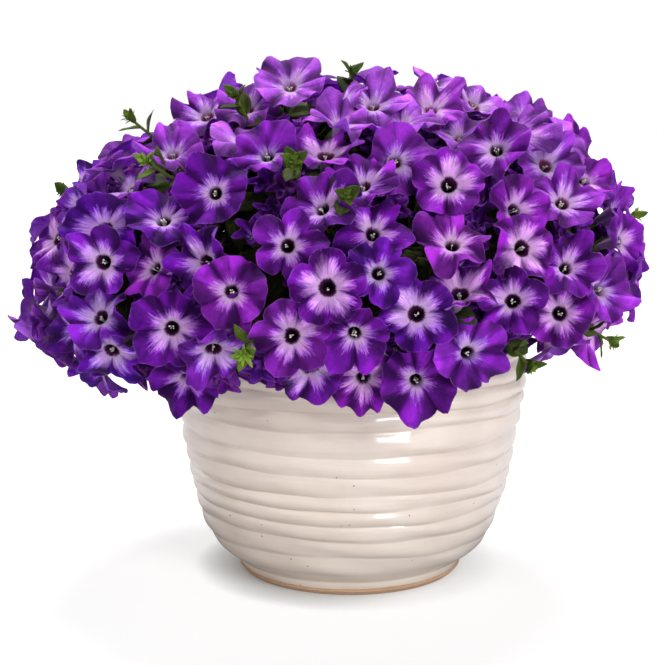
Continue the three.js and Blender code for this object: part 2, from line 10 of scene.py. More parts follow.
import bpy
import numpy as np
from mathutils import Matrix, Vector


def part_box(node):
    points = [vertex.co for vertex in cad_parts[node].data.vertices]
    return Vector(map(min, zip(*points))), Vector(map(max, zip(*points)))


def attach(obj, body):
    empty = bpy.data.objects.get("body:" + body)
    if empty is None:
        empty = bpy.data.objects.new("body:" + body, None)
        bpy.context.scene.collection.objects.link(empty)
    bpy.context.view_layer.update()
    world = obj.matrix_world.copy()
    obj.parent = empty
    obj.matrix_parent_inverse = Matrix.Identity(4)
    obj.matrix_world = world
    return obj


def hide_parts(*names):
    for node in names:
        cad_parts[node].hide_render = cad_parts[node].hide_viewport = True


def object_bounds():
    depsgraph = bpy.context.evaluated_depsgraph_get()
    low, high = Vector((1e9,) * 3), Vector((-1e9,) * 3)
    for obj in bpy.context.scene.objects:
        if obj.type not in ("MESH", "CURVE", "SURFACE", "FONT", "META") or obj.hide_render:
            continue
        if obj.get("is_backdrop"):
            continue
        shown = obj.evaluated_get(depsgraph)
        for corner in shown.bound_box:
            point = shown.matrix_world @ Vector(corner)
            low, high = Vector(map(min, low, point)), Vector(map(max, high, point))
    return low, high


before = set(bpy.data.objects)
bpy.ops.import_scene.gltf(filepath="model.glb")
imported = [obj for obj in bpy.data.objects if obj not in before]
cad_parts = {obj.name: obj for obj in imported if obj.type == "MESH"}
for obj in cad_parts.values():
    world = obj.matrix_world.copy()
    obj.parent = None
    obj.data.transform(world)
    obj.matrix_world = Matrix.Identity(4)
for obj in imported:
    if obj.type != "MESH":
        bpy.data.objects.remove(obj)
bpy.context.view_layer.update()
MM = 0.001  # the plant's plan is drawn in millimetres

# %% [markdown]
# ## The camera
# The photograph was taken from a little above the rim. The pot's ridges are rings, so how round
# they look gives the camera's height and tilt: 1.1 m from the pot's middle, 0.357 m above the floor
# and looking 8.66 degrees down. The camera also turns 0.73 degrees to the left, which puts the pot
# a little right of the picture's middle. A turn was chosen over a lens shift, because it also holds
# when the camera is moved to look from another side.

# %% Set up the camera
PICTURE = 665  # pixels, wide and high
FOCAL = 1381  # pixels
VIEW = {"distance": 1100, "height": 357, "tilt": 8.66, "column": 350, "row": 332.5}


def put(name, data):
    """A new object in the scene for this mesh, lamp or camera."""
    made = bpy.data.objects.new(name, data)
    bpy.context.scene.collection.objects.link(made)
    return made


lens = bpy.data.cameras.new("camera")
lens.sensor_width = 36
lens.lens = FOCAL / PICTURE * lens.sensor_width
camera = put("camera", lens)
camera.location = (0, -VIEW["distance"] * MM, VIEW["height"] * MM)
turn_left = math.atan((VIEW["column"] - PICTURE / 2) / FOCAL)
camera.rotation_euler = (math.radians(90 - VIEW["tilt"]), 0, turn_left)
bpy.context.scene.camera = camera
print("lens, mm:", round(lens.lens, 2))

# %% [markdown]
# ## Drawing numbers and turning vectors
# A plant is irregular, but a script has to give the same plant on each run. So each "random" trait
# comes from a fixed draw: the same thing and the same trait always give the same number. The second
# number of a draw only names the trait, so any number does, as long as no other trait has it.

# %% Draws, directions and soft steps
GOLDEN_ANGLE = 180 * (3 - math.sqrt(5))


def draw(n, trait):
    """A fixed draw from 0 to 1 for the nth thing of its kind and one of its traits."""
    wave = math.sin(n * 127.1 + trait * 311.7) * 43758.5453
    return wave - math.floor(wave)


def phase(n, trait):
    """A fixed draw as an angle once round, in radians."""
    return 6.3 * draw(n, trait)


def facing(turn, lift):
    """The unit vector turned to the right of the viewer and lifted above level, in degrees."""
    t, l = math.radians(turn), math.radians(lift)
    return Vector((math.cos(l) * math.sin(t), -math.cos(l) * math.cos(t), math.sin(l)))


def smooth(value, low, high):
    """0 below low, 1 above high, and a soft slope between them."""
    share = np.clip((value - low) / (high - low), 0, 1)
    return share * share * (3 - 2 * share)


def unit(v):
    """A vector made 1 long."""
    return v / np.linalg.norm(v)


def turned(angle, side, other):
    """The direction turned from side towards other, in radians."""
    return math.cos(angle) * side + math.sin(angle) * other


print("the first draws:", [round(draw(0, k), 3) for k in range(3)])

# %% [markdown]
# ## One piece from many small parts
# A spray has thousands of small faces in dozens of small parts. Adding them one by one with
# operators would be slow. So a heap collects points, faces and paint values as arrays, and turns
# them into one mesh at the end. The paint values ride on the points, and the materials read them:
# where a point lies on its petal, or how old its leaf is.


# %% A heap of points and faces
class Heap:
    """Collects the points (mm), faces and paint values of one piece."""

    def __init__(self):
        self.points, self.faces, self.paint, self.count = [], [], {}, 0

    def add(self, points, faces, **paint):
        points = np.asarray(points, float).reshape(-1, 3)
        self.points.append(points)
        self.faces += [tuple(int(v) + self.count for v in face) for face in faces]
        for name in sorted({*self.paint, *paint}):
            rows = self.paint.setdefault(name, [np.zeros((self.count, 3))])
            value = np.asarray(paint.get(name, (0, 0, 0)), float).reshape(-1, 3)
            rows.append(np.broadcast_to(value, (len(points), 3)))
        self.count += len(points)

    def piece(self, name, material, slot, node, sharp=None):
        """The heap as an object that rides on the root body and stands for a CAD node."""
        mesh = bpy.data.meshes.new(name)
        mesh.from_pydata((np.concatenate(self.points) * MM).tolist(), [], self.faces)
        for paint_name, rows in self.paint.items():
            layer = mesh.attributes.new(paint_name, "FLOAT_VECTOR", "POINT")
            layer.data.foreach_set("vector", np.concatenate(rows).ravel())
        mesh.materials.append(material)
        mesh.polygons.foreach_set("use_smooth", [True] * len(mesh.polygons))
        if sharp:
            mesh.set_sharp_from_angle(angle=math.radians(sharp))
        mesh.update()
        made = put(name, mesh)
        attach(made, "root")
        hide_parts(node)
        return made


print("an empty heap has", Heap().count, "points")


# %% Faces between rings of points
def grid_faces(rows, columns, first=0):
    """Quads between rows of points. Each row runs round and meets its own start."""
    faces = []
    for r in range(rows - 1):
        for c in range(columns):
            n = (c + 1) % columns
            a, b = first + r * columns, first + (r + 1) * columns
            faces.append((a + c, a + n, b + n, b + c))
    return faces


def capped(rows, columns):
    """The faces of a closed tube: quads between its rings, and a lid on each end."""
    lids = [tuple(reversed(range(columns))), tuple((rows - 1) * columns + c for c in range(columns))]
    return grid_faces(rows, columns) + lids


print("faces of a three-sided stick:", len(capped(2, 3)))

# %% [markdown]
# ## Nodes shared by the materials
# Glaze, petals, leaves and potting mix share a few effects: soft blotches, specks and fine veins.
# Each effect is a node group, made once, and every material places it with its own values. The
# Principled shader itself stays in each material.


# %% Short ways to place nodes
def place_node(tree, kind, label, **settings):
    made = tree.nodes.new(kind)
    made.label = label
    for name, value in settings.items():
        setattr(made, name, value)
    return made


def feed(tree, socket, value):
    """Sets a socket to a value, or links another socket to it."""
    if isinstance(value, bpy.types.NodeSocket):
        tree.links.new(value, socket)
    else:
        socket.default_value = value


def feed_all(tree, node, **values):
    """Feeds several sockets of a node. Spaces in their names are underscores here."""
    for name, value in values.items():
        feed(tree, node.inputs[name.replace("_", " ")], value)


def new_material(name):
    """A node material with an empty tree but for its Principled shader."""
    material = bpy.data.materials.new(name)
    material.use_nodes = True
    return material, material.node_tree, material.node_tree.nodes["Principled BSDF"]


def new_group(name, inputs, outputs):
    """An empty node group with named sockets. Returns it with its inner input and output nodes."""
    group = bpy.data.node_groups.new(name, "ShaderNodeTree")
    for label, kind in inputs:
        group.interface.new_socket(label, in_out="INPUT", socket_type=kind)
    for label in outputs:
        group.interface.new_socket(label, in_out="OUTPUT", socket_type="NodeSocketFloat")
    return group, group.nodes.new("NodeGroupInput"), group.nodes.new("NodeGroupOutput")


def use_group(tree, group, **values):
    """Places a group in a material and gives back its outputs."""
    made = place_node(tree, "ShaderNodeGroup", group.name, node_tree=group)
    feed_all(tree, made, **values)
    return made.outputs


print("materials so far:", len(bpy.data.materials))


# %% Numbers in a node tree
def reckon(tree, operation, a, b=0.5, c=0.5):
    """A Math node's result."""
    made = place_node(tree, "ShaderNodeMath", operation.lower(), operation=operation)
    for socket, value in zip(made.inputs, (a, b, c)):
        feed(tree, socket, value)
    return made.outputs[0]


def times(tree, a, b):
    return reckon(tree, "MULTIPLY", a, b)


def past_middle(tree, value, weight, start, middle=0.5):
    """start, moved by how far a value is past its middle, times a weight."""
    return reckon(tree, "MULTIPLY_ADD", reckon(tree, "SUBTRACT", value, middle), weight, start)


def slope(tree, value, low, high, to_low=0.0, to_high=1.0):
    """A soft slope from to_low to to_high as value goes from low to high."""
    made = place_node(tree, "ShaderNodeMapRange", "soft slope", interpolation_type="SMOOTHSTEP")
    for socket, number in zip(made.inputs, (value, low, high, to_low, to_high)):
        feed(tree, socket, number)
    return made.outputs[0]


def noise(tree, place, scale, detail=2.0, roughness=0.5):
    """A Noise texture's value from 0 to 1."""
    made = place_node(tree, "ShaderNodeTexNoise", "noise")
    feed_all(tree, made, Vector=place, Scale=scale, Detail=detail, Roughness=roughness)
    return made.outputs["Fac"]


def add_bump(tree, shader, height, distance):
    """Feeds a height, in metres when multiplied by distance, to the shader's normal."""
    bump = place_node(tree, "ShaderNodeBump", "bump")
    feed_all(tree, bump, Height=height, Distance=distance, Strength=1.0)
    tree.links.new(bump.outputs["Normal"], shader.inputs["Normal"])


print("number helpers:", [helper.__name__ for helper in (reckon, times, past_middle, slope, noise)])


# %% Colours in a node tree
def blend_colours(tree, share, first, second, how="MIX"):
    """Two colours mixed by a share."""
    made = place_node(tree, "ShaderNodeMix", "mixed colour", data_type="RGBA", blend_type=how)
    feed(tree, made.inputs["Factor"], share)
    feed(tree, made.inputs["A"], first)
    feed(tree, made.inputs["B"], second)
    return made.outputs["Result"]


def layered(tree, base, *layers):
    """A base colour with others laid over it one by one, each by its share."""
    for share, colour in layers:
        base = blend_colours(tree, share, base, colour)
    return base


def lit_by(tree, colour, light):
    """A colour made darker or lighter by a number."""
    return blend_colours(tree, 1.0, colour, joined(tree, light, light, light), how="MULTIPLY")


print("colour helpers:", [helper.__name__ for helper in (blend_colours, layered, lit_by)])


# %% Places in a node tree
def parts_of(tree, vector):
    """A vector's three numbers."""
    made = place_node(tree, "ShaderNodeSeparateXYZ", "parts")
    tree.links.new(vector, made.inputs[0])
    return made.outputs


def joined(tree, x, y, z):
    """Three numbers as a vector."""
    made = place_node(tree, "ShaderNodeCombineXYZ", "joined")
    for socket, value in zip(made.inputs, (x, y, z)):
        feed(tree, socket, value)
    return made.outputs[0]


def moved(tree, place, x, y, z):
    """A place moved along by three numbers."""
    made = place_node(tree, "ShaderNodeVectorMath", "moved by the seed", operation="ADD")
    tree.links.new(place, made.inputs[0])
    tree.links.new(joined(tree, x, y, z), made.inputs[1])
    return made.outputs[0]


def squeezed(tree, place, upwards):
    """A place squeezed in height, so that a noise in it runs round the pot in bands."""
    made = place_node(tree, "ShaderNodeMapping", "squeezed in height")
    feed_all(tree, made, Vector=place, Scale=(1.0, 1.0, upwards))
    return made.outputs[0]


def place_on(tree, label):
    """Where a point lies on its object, in metres."""
    return place_node(tree, "ShaderNodeTexCoord", label).outputs["Object"]


def painted(tree, name):
    """The paint values that ride on a mesh's points."""
    return place_node(tree, "ShaderNodeAttribute", name, attribute_name=name).outputs["Vector"]


print("place helpers:", [helper.__name__ for helper in (parts_of, joined, moved, squeezed)])

# %% Soft blotches, specks and veins as groups
FLOAT, VECTOR = "NodeSocketFloat", "NodeSocketVector"

blotches, inside, outside = new_group(
    "soft blotches", [("Place", VECTOR), ("Scale", FLOAT), ("Seed", FLOAT)], ["Blotch"])
shifted = moved(blotches, inside.outputs["Place"], inside.outputs["Seed"], 0.0, 0.0)
cloud = noise(blotches, shifted, inside.outputs["Scale"], detail=3.0)
feed_all(blotches, outside, Blotch=slope(blotches, cloud, 0.32, 0.68))

specks, inside, outside = new_group(
    "small specks", [("Place", VECTOR), ("Scale", FLOAT), ("Share", FLOAT)], ["Speck"])
cells = place_node(specks, "ShaderNodeTexVoronoi", "one cell to a speck")
feed_all(specks, cells, Vector=inside.outputs["Place"], Scale=inside.outputs["Scale"])
drawn = parts_of(specks, cells.outputs["Color"])
size = times(specks, drawn[1], 0.28)
is_here = reckon(specks, "LESS_THAN", drawn[0], inside.outputs["Share"])
dot = slope(specks, reckon(specks, "SUBTRACT", size, cells.outputs["Distance"]), -0.03, 0.05)
feed_all(specks, outside, Speck=times(specks, dot, is_here))

veins, inside, outside = new_group(
    "fine veins", [("Around", VECTOR), ("Count", FLOAT), ("Seed", FLOAT)], ["Vein"])
around = moved(veins, inside.outputs["Around"], 0.0, 0.0, inside.outputs["Seed"])
lines = noise(veins, around, inside.outputs["Count"], roughness=0.6)
ridge = reckon(veins, "ABSOLUTE", reckon(veins, "SUBTRACT", lines, 0.5))
feed_all(veins, outside, Vein=slope(veins, ridge, 0.0, 0.09, 1.0, 0.0))
print("groups:", [group.name for group in bpy.data.node_groups])

# %% [markdown]
# ## The pot
# The real pot was thrown on a wheel, and its ridges are where the fingers pressed: a dozen soft
# shelves, not quite level and not quite alike. A lathe profile with a Screw modifier would give
# perfect rings, so the rings are computed here point by point, with a slow wobble in their height
# and depth. Each ridge overhangs its groove a little, because that is what draws the dark lines.

# %% Sizes of the pot
POT_HEIGHT = 204
FOOT_RADIUS = 88
FOOT_EDGE = 0.8  # the foot's rounded lower edge
FOOT_BAND = (3.5, 2.5)  # height and flare of the unglazed band
WALL, FLOOR, LIP = 10, 13, 4
GROOVE_DEPTH = 2.7
GROOVES = [  # height of each groove and the pot's radius there
    (19.5, 104.5), (35, 114.8), (51, 121.4), (64, 125.4), (76, 128), (87.5, 130), (103, 132.8),
    (118.5, 135.2), (137.5, 137.8), (150.5, 139.3), (164.5, 140.4), (179, 141), (192, 141.2),
]
FOOT_STEP = (11, 91.5)  # where the narrow foot flares out into the wall
DRAIN = {"radius": 7, "circle": 48, "holes": 3}
MIX_TOP = 181

wall_rows = np.array([(0, FOOT_RADIUS), FOOT_STEP, *GROOVES, (POT_HEIGHT, GROOVES[-1][1])], float)
rim_outer = GROOVES[-1][1] + GROOVE_DEPTH / 2


def wall_radius(z):
    return np.interp(z, wall_rows[:, 0], wall_rows[:, 1])


print("the pot is", round(2 * rim_outer), "mm across its rim and", POT_HEIGHT, "mm tall")

# %% The wobble of the potter's hand
POT_COLUMNS, ROWS_PER_RIDGE, LIP_ROWS = 288, 14, 9
WAVES = [  # waves round the pot, their size, and how fast they turn with height
    (1, 0.9, 0.013), (2, 0.6, 0.021), (3, 0.45, 0.034), (5, 0.28, 0.055), (8, 0.26, 0.04),
    (13, 0.14, 0.05),
]
SETTLED_FOOT, SETTLED_RIM = 30, 20  # mm over which the wobble dies out
RISE_AND_FALL, OUT_OF_ROUND = 1.9, 0.5  # mm
PRESSED = {"usual": 0.86, "varies": 0.4, "left": 0.22}  # how deep a groove is, as shares
angles = np.linspace(0, 2 * np.pi, POT_COLUMNS, endpoint=False)


def wobble(z, seed):
    """A slow wave round and up the pot, from about -1 to 1."""
    return sum(size * np.sin(n * angles + pitch * z * (k + 1) + phase(seed, 60 + k))
               for k, (n, size, pitch) in enumerate(WAVES)) / 1.4


def ring(radius, height):
    """A ring of the pot, with a radius and a height for each column."""
    return radius * np.ones(POT_COLUMNS), height * np.ones(POT_COLUMNS)


def wall_ring(low, high, share):
    """A ring of the wall, at a share of the way up from one groove to the next."""
    z = low + (high - low) * share
    # The ridge swells quickly out of its lower groove and slopes back slowly to the upper one.
    swell = np.sin(np.pi * share ** 0.76) ** 0.9
    pressed = PRESSED["usual"] + PRESSED["varies"] * wobble(z, 2) - PRESSED["left"] * np.sin(angles)
    settled = min(1, z / SETTLED_FOOT)
    lift = RISE_AND_FALL * wobble(z, 1) * settled * min(1, (POT_HEIGHT - z) / SETTLED_RIM)
    radius = wall_radius(z) + GROOVE_DEPTH * np.clip(pressed, 0.3, 1.5) * (swell - 0.5)
    return radius + OUT_OF_ROUND * wobble(z, 3) * settled, z + lift


print("most wobble, in its own units:", round(float(np.abs(wobble(100, 1)).max()), 2))

# %% Turn the pot
INNER_HEIGHTS = (190, 165, 140, 110, 80, 57, 35, 22, 16)
inner_rows = [(FLOOR, wall_radius(FLOOR) - WALL - 6), *[(z, wall_radius(z) - WALL) for z in (35, 80, 140)],
              (POT_HEIGHT, rim_outer - WALL)]
rings = [ring(FOOT_RADIUS - 1.0, 0), ring(FOOT_RADIUS, FOOT_EDGE),
         ring(FOOT_RADIUS + FOOT_BAND[1], FOOT_BAND[0])]
ridge_ends = [FOOT_BAND[0], *[z for z, _ in GROOVES], POT_HEIGHT + 8]
for low, high in zip(ridge_ends, ridge_ends[1:]):
    for step in range(ROWS_PER_RIDGE):
        share = (step + 0.5) / ROWS_PER_RIDGE
        if low + (high - low) * share <= POT_HEIGHT - LIP / 2:
            rings.append(wall_ring(low, high, share))
for step in range(LIP_ROWS):
    turn = math.pi * step / (LIP_ROWS - 1)
    rings.append(ring(rim_outer - WALL / 2 + (WALL / 2) * math.cos(turn) - 0.2,
                      POT_HEIGHT - LIP + LIP * math.sin(turn)))
rings += [ring(np.interp(z, *zip(*inner_rows)), z) for z in INNER_HEIGHTS]
rings.append(ring(wall_radius(FLOOR) - WALL - 8, FLOOR))

pot_heap = Heap()
pot_heap.add([np.stack([r * np.sin(angles), -r * np.cos(angles), z], axis=1) for r, z in rings],
             capped(len(rings), POT_COLUMNS))
print("pot rings:", len(rings), "points:", pot_heap.count)

# %% [markdown]
# ## The glaze
# Cream stoneware glaze is thin on the crests, where the clay warms it, and pools greyer in the
# grooves. Thin greyer smears run round the pot, more of them towards the rim: painted shadow and
# reflection of the plant that hangs over it. It is full of fine specks, with a few dark iron spots.
# A clear coat over a rougher base gives the sharp window-like highlights. The foot is bare clay, so
# the coat stops there.

# %% Mix the glaze's colour
glaze, tree, shader = new_material("glaze")
coordinates = place_on(tree, "place on the pot")
height = parts_of(tree, coordinates)[2]
cloud = use_group(tree, blotches, Place=coordinates, Scale=16.0, Seed=3.0)["Blotch"]
crest = place_node(tree, "ShaderNodeNewGeometry", "crests and grooves").outputs["Pointiness"]
# Painted shadow and reflection of the plant: greyer smears in bands round the pot, laid on more towards the
# rim.
painted_shadow_and_reflection = slope(tree, noise(tree, squeezed(tree, coordinates, 7.0), 14.0, detail=3.0), 0.48, 0.72)
fine = use_group(tree, specks, Place=coordinates, Scale=620.0, Share=0.14)["Speck"]
iron = use_group(tree, specks, Place=coordinates, Scale=320.0, Share=0.025)["Speck"]
cream = layered(
    tree, blend_colours(tree, cloud, (0.70, 0.60, 0.53, 1), (0.77, 0.69, 0.615, 1)),
    (slope(tree, crest, 0.470, 0.492, 0.5, 0.0), (0.50, 0.40, 0.33, 1)),
    (times(tree, painted_shadow_and_reflection, slope(tree, height, 0.08, 0.17, 0.12, 0.5)), (0.50, 0.43, 0.37, 1)),
    (times(tree, fine, 0.3), (0.42, 0.33, 0.26, 1)),
    (times(tree, iron, 0.8), (0.16, 0.10, 0.07, 1)))
print("glaze nodes so far:", len(tree.nodes))

# %% Bare clay at the foot, the coat and the throwing lines
edge = times(tree, noise(tree, coordinates, 30.0), 0.0026)
bare = slope(tree, reckon(tree, "SUBTRACT", height, edge), 0.0032, 0.0044, 1.0, 0.0)
clay = blend_colours(tree, noise(tree, coordinates, 900.0), (0.44, 0.27, 0.16, 1), (0.60, 0.41, 0.28, 1))
feed_all(tree, shader,
         Base_Color=blend_colours(tree, bare, cream, clay),
         Roughness=slope(tree, bare, 0.0, 1.0, 0.4, 0.85),
         Coat_Weight=slope(tree, bare, 0.0, 1.0, 1.0, 0.0),
         Coat_Roughness=0.1)
# Throwing lines are fine rings that wander a little, so they come from a noise squeezed in height.
throwing_lines = noise(tree, squeezed(tree, coordinates, 22.0), 9.0, detail=3.0)
uneven = reckon(tree, "ADD", noise(tree, coordinates, 40.0), throwing_lines)
add_bump(tree, shader, reckon(tree, "MULTIPLY_ADD", fine, 0.12, uneven), 0.0005)
print("glaze nodes:", len(tree.nodes))

# %% [markdown]
# ## Drill the drainage holes
# Three holes go through the floor of the pot. A Boolean modifier drills them through the finished
# body and is applied at once, so the pot's mesh is one plain closed body.

# %% Finish the pot
pot = pot_heap.piece("stoneware_pot", glaze, "glaze", "pot")
for k in range(DRAIN["holes"]):
    turn = 2 * math.pi * k / DRAIN["holes"]
    away = DRAIN["circle"] * MM
    bpy.ops.mesh.primitive_cylinder_add(
        vertices=40, radius=DRAIN["radius"] * MM, depth=3 * FLOOR * MM,
        location=(away * math.cos(turn), away * math.sin(turn), 0))
    drill = bpy.context.object
    cut = pot.modifiers.new("drain", "BOOLEAN")
    cut.operation, cut.object, cut.solver = "DIFFERENCE", drill, "EXACT"
    with bpy.context.temp_override(object=pot, active_object=pot):
        bpy.ops.object.modifier_apply(modifier=cut.name)
    bpy.data.objects.remove(drill)
pot.data.polygons.foreach_set("use_smooth", [True] * len(pot.data.polygons))
pot.data.set_sharp_from_angle(angle=math.radians(50))
print("pot faces:", len(pot.data.polygons))

# %% [markdown]
# ## The potting mix
# The plant hides nearly all of it, but it shows from some sides. It is one closed body that fills
# the pot, with a lumpy top. The lumps come from waves in its height, so it stays a simple grid.

# %% Shape the potting mix
MIX_COLUMNS, MIX_RINGS, MIX_SUNK = 120, 26, 1.2
mix_edge = wall_radius(MIX_TOP) - WALL - 1.4
mix_rows = [(mix_edge * k / MIX_RINGS, MIX_TOP) for k in range(1, MIX_RINGS + 1)]
mix_rows += [(wall_radius(z) - WALL - 0.8, z) for z in (140, 80, 35)]
mix_rows += [(wall_radius(FLOOR) - WALL - 8, FLOOR + 0.6)]
mix_angles = np.linspace(0, 2 * np.pi, MIX_COLUMNS, endpoint=False)
mix_points = []
for k, (radius, z) in enumerate(mix_rows):
    x, y = radius * np.cos(mix_angles), radius * np.sin(mix_angles)
    lumps = (np.sin(x / 5.1 + 1) * np.sin(y / 4.3) + 0.6 * np.sin(x / 2.3 + y / 3.1)
             + 0.5 * np.sin(x / 1.7 - y / 1.9)) * (1.0 if k < MIX_RINGS - 1 else 0.0)
    mix_points += list(zip(x, y, z - MIX_SUNK + lumps))
mix_faces = [tuple(reversed(face)) for face in grid_faces(len(mix_rows), MIX_COLUMNS)]
mix_faces += [(len(mix_points), c, (c + 1) % MIX_COLUMNS) for c in range(MIX_COLUMNS)]
last = (len(mix_rows) - 1) * MIX_COLUMNS
mix_faces.append(tuple(last + c for c in reversed(range(MIX_COLUMNS))))
mix_heap = Heap()
mix_heap.add([*mix_points, (0, 0, MIX_TOP - MIX_SUNK)], mix_faces)
print("potting mix points:", mix_heap.count)

# %% Colour the potting mix
soil, tree, shader = new_material("potting mix")
coordinates = place_on(tree, "place in the pot")
clods = use_group(tree, blotches, Place=coordinates, Scale=180.0, Seed=1.0)["Blotch"]
chips = use_group(tree, specks, Place=coordinates, Scale=300.0, Share=0.12)["Speck"]
brown = blend_colours(tree, clods, (0.018, 0.011, 0.007, 1), (0.075, 0.045, 0.026, 1))
feed_all(tree, shader, Base_Color=blend_colours(tree, chips, brown, (0.30, 0.24, 0.17, 1)), Roughness=0.95)
add_bump(tree, shader, reckon(tree, "ADD", clods, chips), 0.0015)
mix_heap.piece("potting_mix_fill", soil, "potting_mix", "potting_mix")
print("potting mix nodes:", len(tree.nodes))

# %% [markdown]
# ## The plan of the plant
# The CAD model sets the blooms on a mound, a leaning dome over the pot. The same plan is worked out
# here from the same numbers, so that each finer bloom opens exactly where its CAD solid is.

# %% The mound
MOUND = {"across": 240, "deep": 230, "up": 157, "down": 100, "lean": 4.5}
CENTRE = Vector((-13, 0, 233))
LOWEST = -37
BLOOM_RADIUS = 27


def lean_by(v, degrees):
    c, s = math.cos(math.radians(degrees)), math.sin(math.radians(degrees))
    return Vector((v.x * c + v.z * s, v.y, v.z * c - v.x * s))


def leaned(v):
    return lean_by(v, -MOUND["lean"])


def upright(v):
    return lean_by(v, MOUND["lean"])


def rise_of(z):
    return MOUND["up"] if z > 0 else MOUND["down"]


def on_mound(turn, lift, share=1.0):
    """The point of the mound in a direction from its middle, in degrees."""
    way = facing(turn, lift)
    v = Vector((MOUND["across"] * way.x, MOUND["deep"] * way.y, rise_of(lift) * way.z))
    return leaned(v * share) + CENTRE


def direction_of(point):
    p = upright(point - CENTRE)
    x, y, z = p.x / MOUND["across"], p.y / MOUND["deep"], p.z / rise_of(p.z)
    return math.degrees(math.atan2(x, -y)), math.degrees(math.atan2(z, math.hypot(x, y)))


def outward(point):
    """Straight out of the mound at a point of it."""
    p = upright(point - CENTRE)
    steep = Vector((p.x / MOUND["across"] ** 2, p.y / MOUND["deep"] ** 2, p.z / rise_of(p.z) ** 2))
    return leaned(steep.normalized())


def seen_through(column, row):
    """The nearest point of the mound along the line of sight through a pixel of the photograph."""
    tilt = math.radians(VIEW["tilt"])
    up, x = (VIEW["row"] - row) / FOCAL, (column - VIEW["column"]) / FOCAL
    level = math.cos(tilt) + up * math.sin(tilt)
    ray = upright(Vector((x, level, up * math.cos(tilt) - math.sin(tilt))))
    eye = upright(Vector((0, -VIEW["distance"], VIEW["height"])) - CENTRE)

    def meet(rise):
        sizes = (MOUND["across"], MOUND["deep"], rise)
        e, d = (Vector([v[k] / sizes[k] for k in range(3)]) for v in (eye, ray))
        a, b, c = d.dot(d), e.dot(d), e.dot(e) - 1
        return eye + ray * ((-b - math.sqrt(max(0, b * b - a * c))) / a)

    above = meet(MOUND["up"])
    found = above if above.z >= 0 else meet(MOUND["down"])
    return on_mound(*direction_of(leaned(found) + CENTRE))


def even_lifts(n):
    """The lifts that share the mound's surface evenly among n things."""
    area = [0.0]
    for lift in range(LOWEST, 90):
        l = math.radians(lift + 0.5)
        band = math.hypot(MOUND["across"] * math.sin(l), rise_of(lift) * math.cos(l))
        area.append(area[-1] + math.cos(l) * band)
    lifts = []
    for i in range(n):
        wanted = (i + 0.5) / n * area[-1]
        k = next(k for k, a in enumerate(area) if a >= wanted)
        lifts.append(LOWEST + k - 1 + (wanted - area[k - 1]) / (area[k] - area[k - 1]))
    return lifts


print("the mound's top, mm:", [round(v) for v in on_mound(0, 90)])

# %% [markdown]
# The blooms that stand out at the front are set one by one: the throat's pixel, the way the bloom
# faces, and how far it stands out. The rest follow a golden-angle spiral, as seeds do in a
# sunflower, because it spaces them evenly with no rows. Where one would crowd another, it is left out.

# %% Blooms and shoots set one by one
FRONT_BLOOMS = [
    (246, 101, -10, 50, 0), (292, 93, 5, 42, 10), (204, 109, -15, 50, 0), (373, 98, 5, 50, 0),
    (429, 105, -10, 50, 2), (402, 110, 0, 66, -3), (479, 99, 45, 45, 0), (539, 106, 20, 50, 0),
    (515, 133, 10, 42, 5), (492, 150, -15, 30, 5), (583, 142, 35, 30, 2), (173, 151, -5, 50, 4),
    (266, 152, -10, 42, 3), (325, 147, 0, 58, 0), (397, 161, 10, 20, 3), (361, 178, -15, 52, 0),
    (447, 186, 0, 20, 4), (553, 157, 20, 30, -4), (216, 196, -5, 15, 6), (318, 204, -25, 38, 2),
    (162, 213, 0, 48, 0), (77, 181, -60, 38, 0), (106, 230, -10, 20, 5), (49, 235, -55, 25, 0),
    (452, 239, 5, 45, 3), (374, 229, 5, 30, 0), (565, 197, 15, 38, 0), (527, 245, 25, 20, 0),
    (622, 209, 60, 20, 0), (566, 263, 15, 33, 3), (288, 247, 0, 8, 3), (328, 289, 0, 5, 8),
    (379, 271, 5, 20, 4), (233, 291, 5, 10, 2), (200, 263, -30, 5, 0), (105, 263, -10, 10, 5),
    (62, 275, -60, 5, 0), (95, 313, -25, 36, 0), (170, 330, 0, 0, 0), (217, 321, -30, -28, -4),
    (212, 362, 10, -40, -4), (60, 333, -45, -5, -6), (107, 358, -20, -30, 0), (33, 298, -75, 2, -8),
    (292, 335, 0, 5, 4), (354, 338, 0, -18, 2), (310, 380, 0, -30, -4), (364, 388, 0, -28, -2),
    (416, 313, 0, 10, 4), (459, 286, -10, 56, 0), (512, 301, -10, 10, 0), (558, 311, 0, 10, 3),
    (604, 286, 35, 20, 2), (467, 346, 15, 5, 8), (415, 375, 5, -12, 8), (628, 240, 60, 10, 0),
    (640, 272, 75, 0, 0), (612, 335, 50, -20, 0), (609, 155, 75, 30, 0), (588, 174, 25, 45, 0),
    (648, 235, 80, 5, 0), (335, 100, -60, 58, 0),
]
FRONT_SHOOTS = [(250, 343, 14), (597, 328, 12), (522, 354, 8), (158, 176, 12), (296, 176, 11),
                (345, 203, 6), (123, 121, 12)]
OTHER_SHOOTS = [(95, 10, 10), (128, -22, 12), (150, 35, 10), (185, -25, 12), (207, 20, 10),
                (238, -18, 12), (262, 30, 10), (20, 72, 8), (330, 62, 8)]
print("blooms set by hand:", len(FRONT_BLOOMS), "shoots:", len(FRONT_SHOOTS) + len(OTHER_SHOOTS))

# %% Set out shoots and blooms
SPIRAL_BLOOMS, OWN_ROOM, SHOOT_ROOM, LAYERS, LEAN = 206, 30, 31, (-6, 0, 6), 0.6

shoots = []
for turn, lift, out in [(*direction_of(seen_through(c, r)), o) for c, r, o in FRONT_SHOOTS] + OTHER_SHOOTS:
    surface = on_mound(turn, lift)
    shoots.append({"turn": turn, "lift": lift, "tip": surface + outward(surface) * out})


def freest_layer(i, spot, placed):
    near = [b["out"] for b in placed if (b["at"] - spot).length < 2 * BLOOM_RADIUS]
    first = math.floor(draw(i, 3) * len(LAYERS))
    order = [LAYERS[(first + k) % len(LAYERS)] for k in range(len(LAYERS))]
    return max(order, key=lambda out: min([99, *[abs(other - out) for other in near]]))


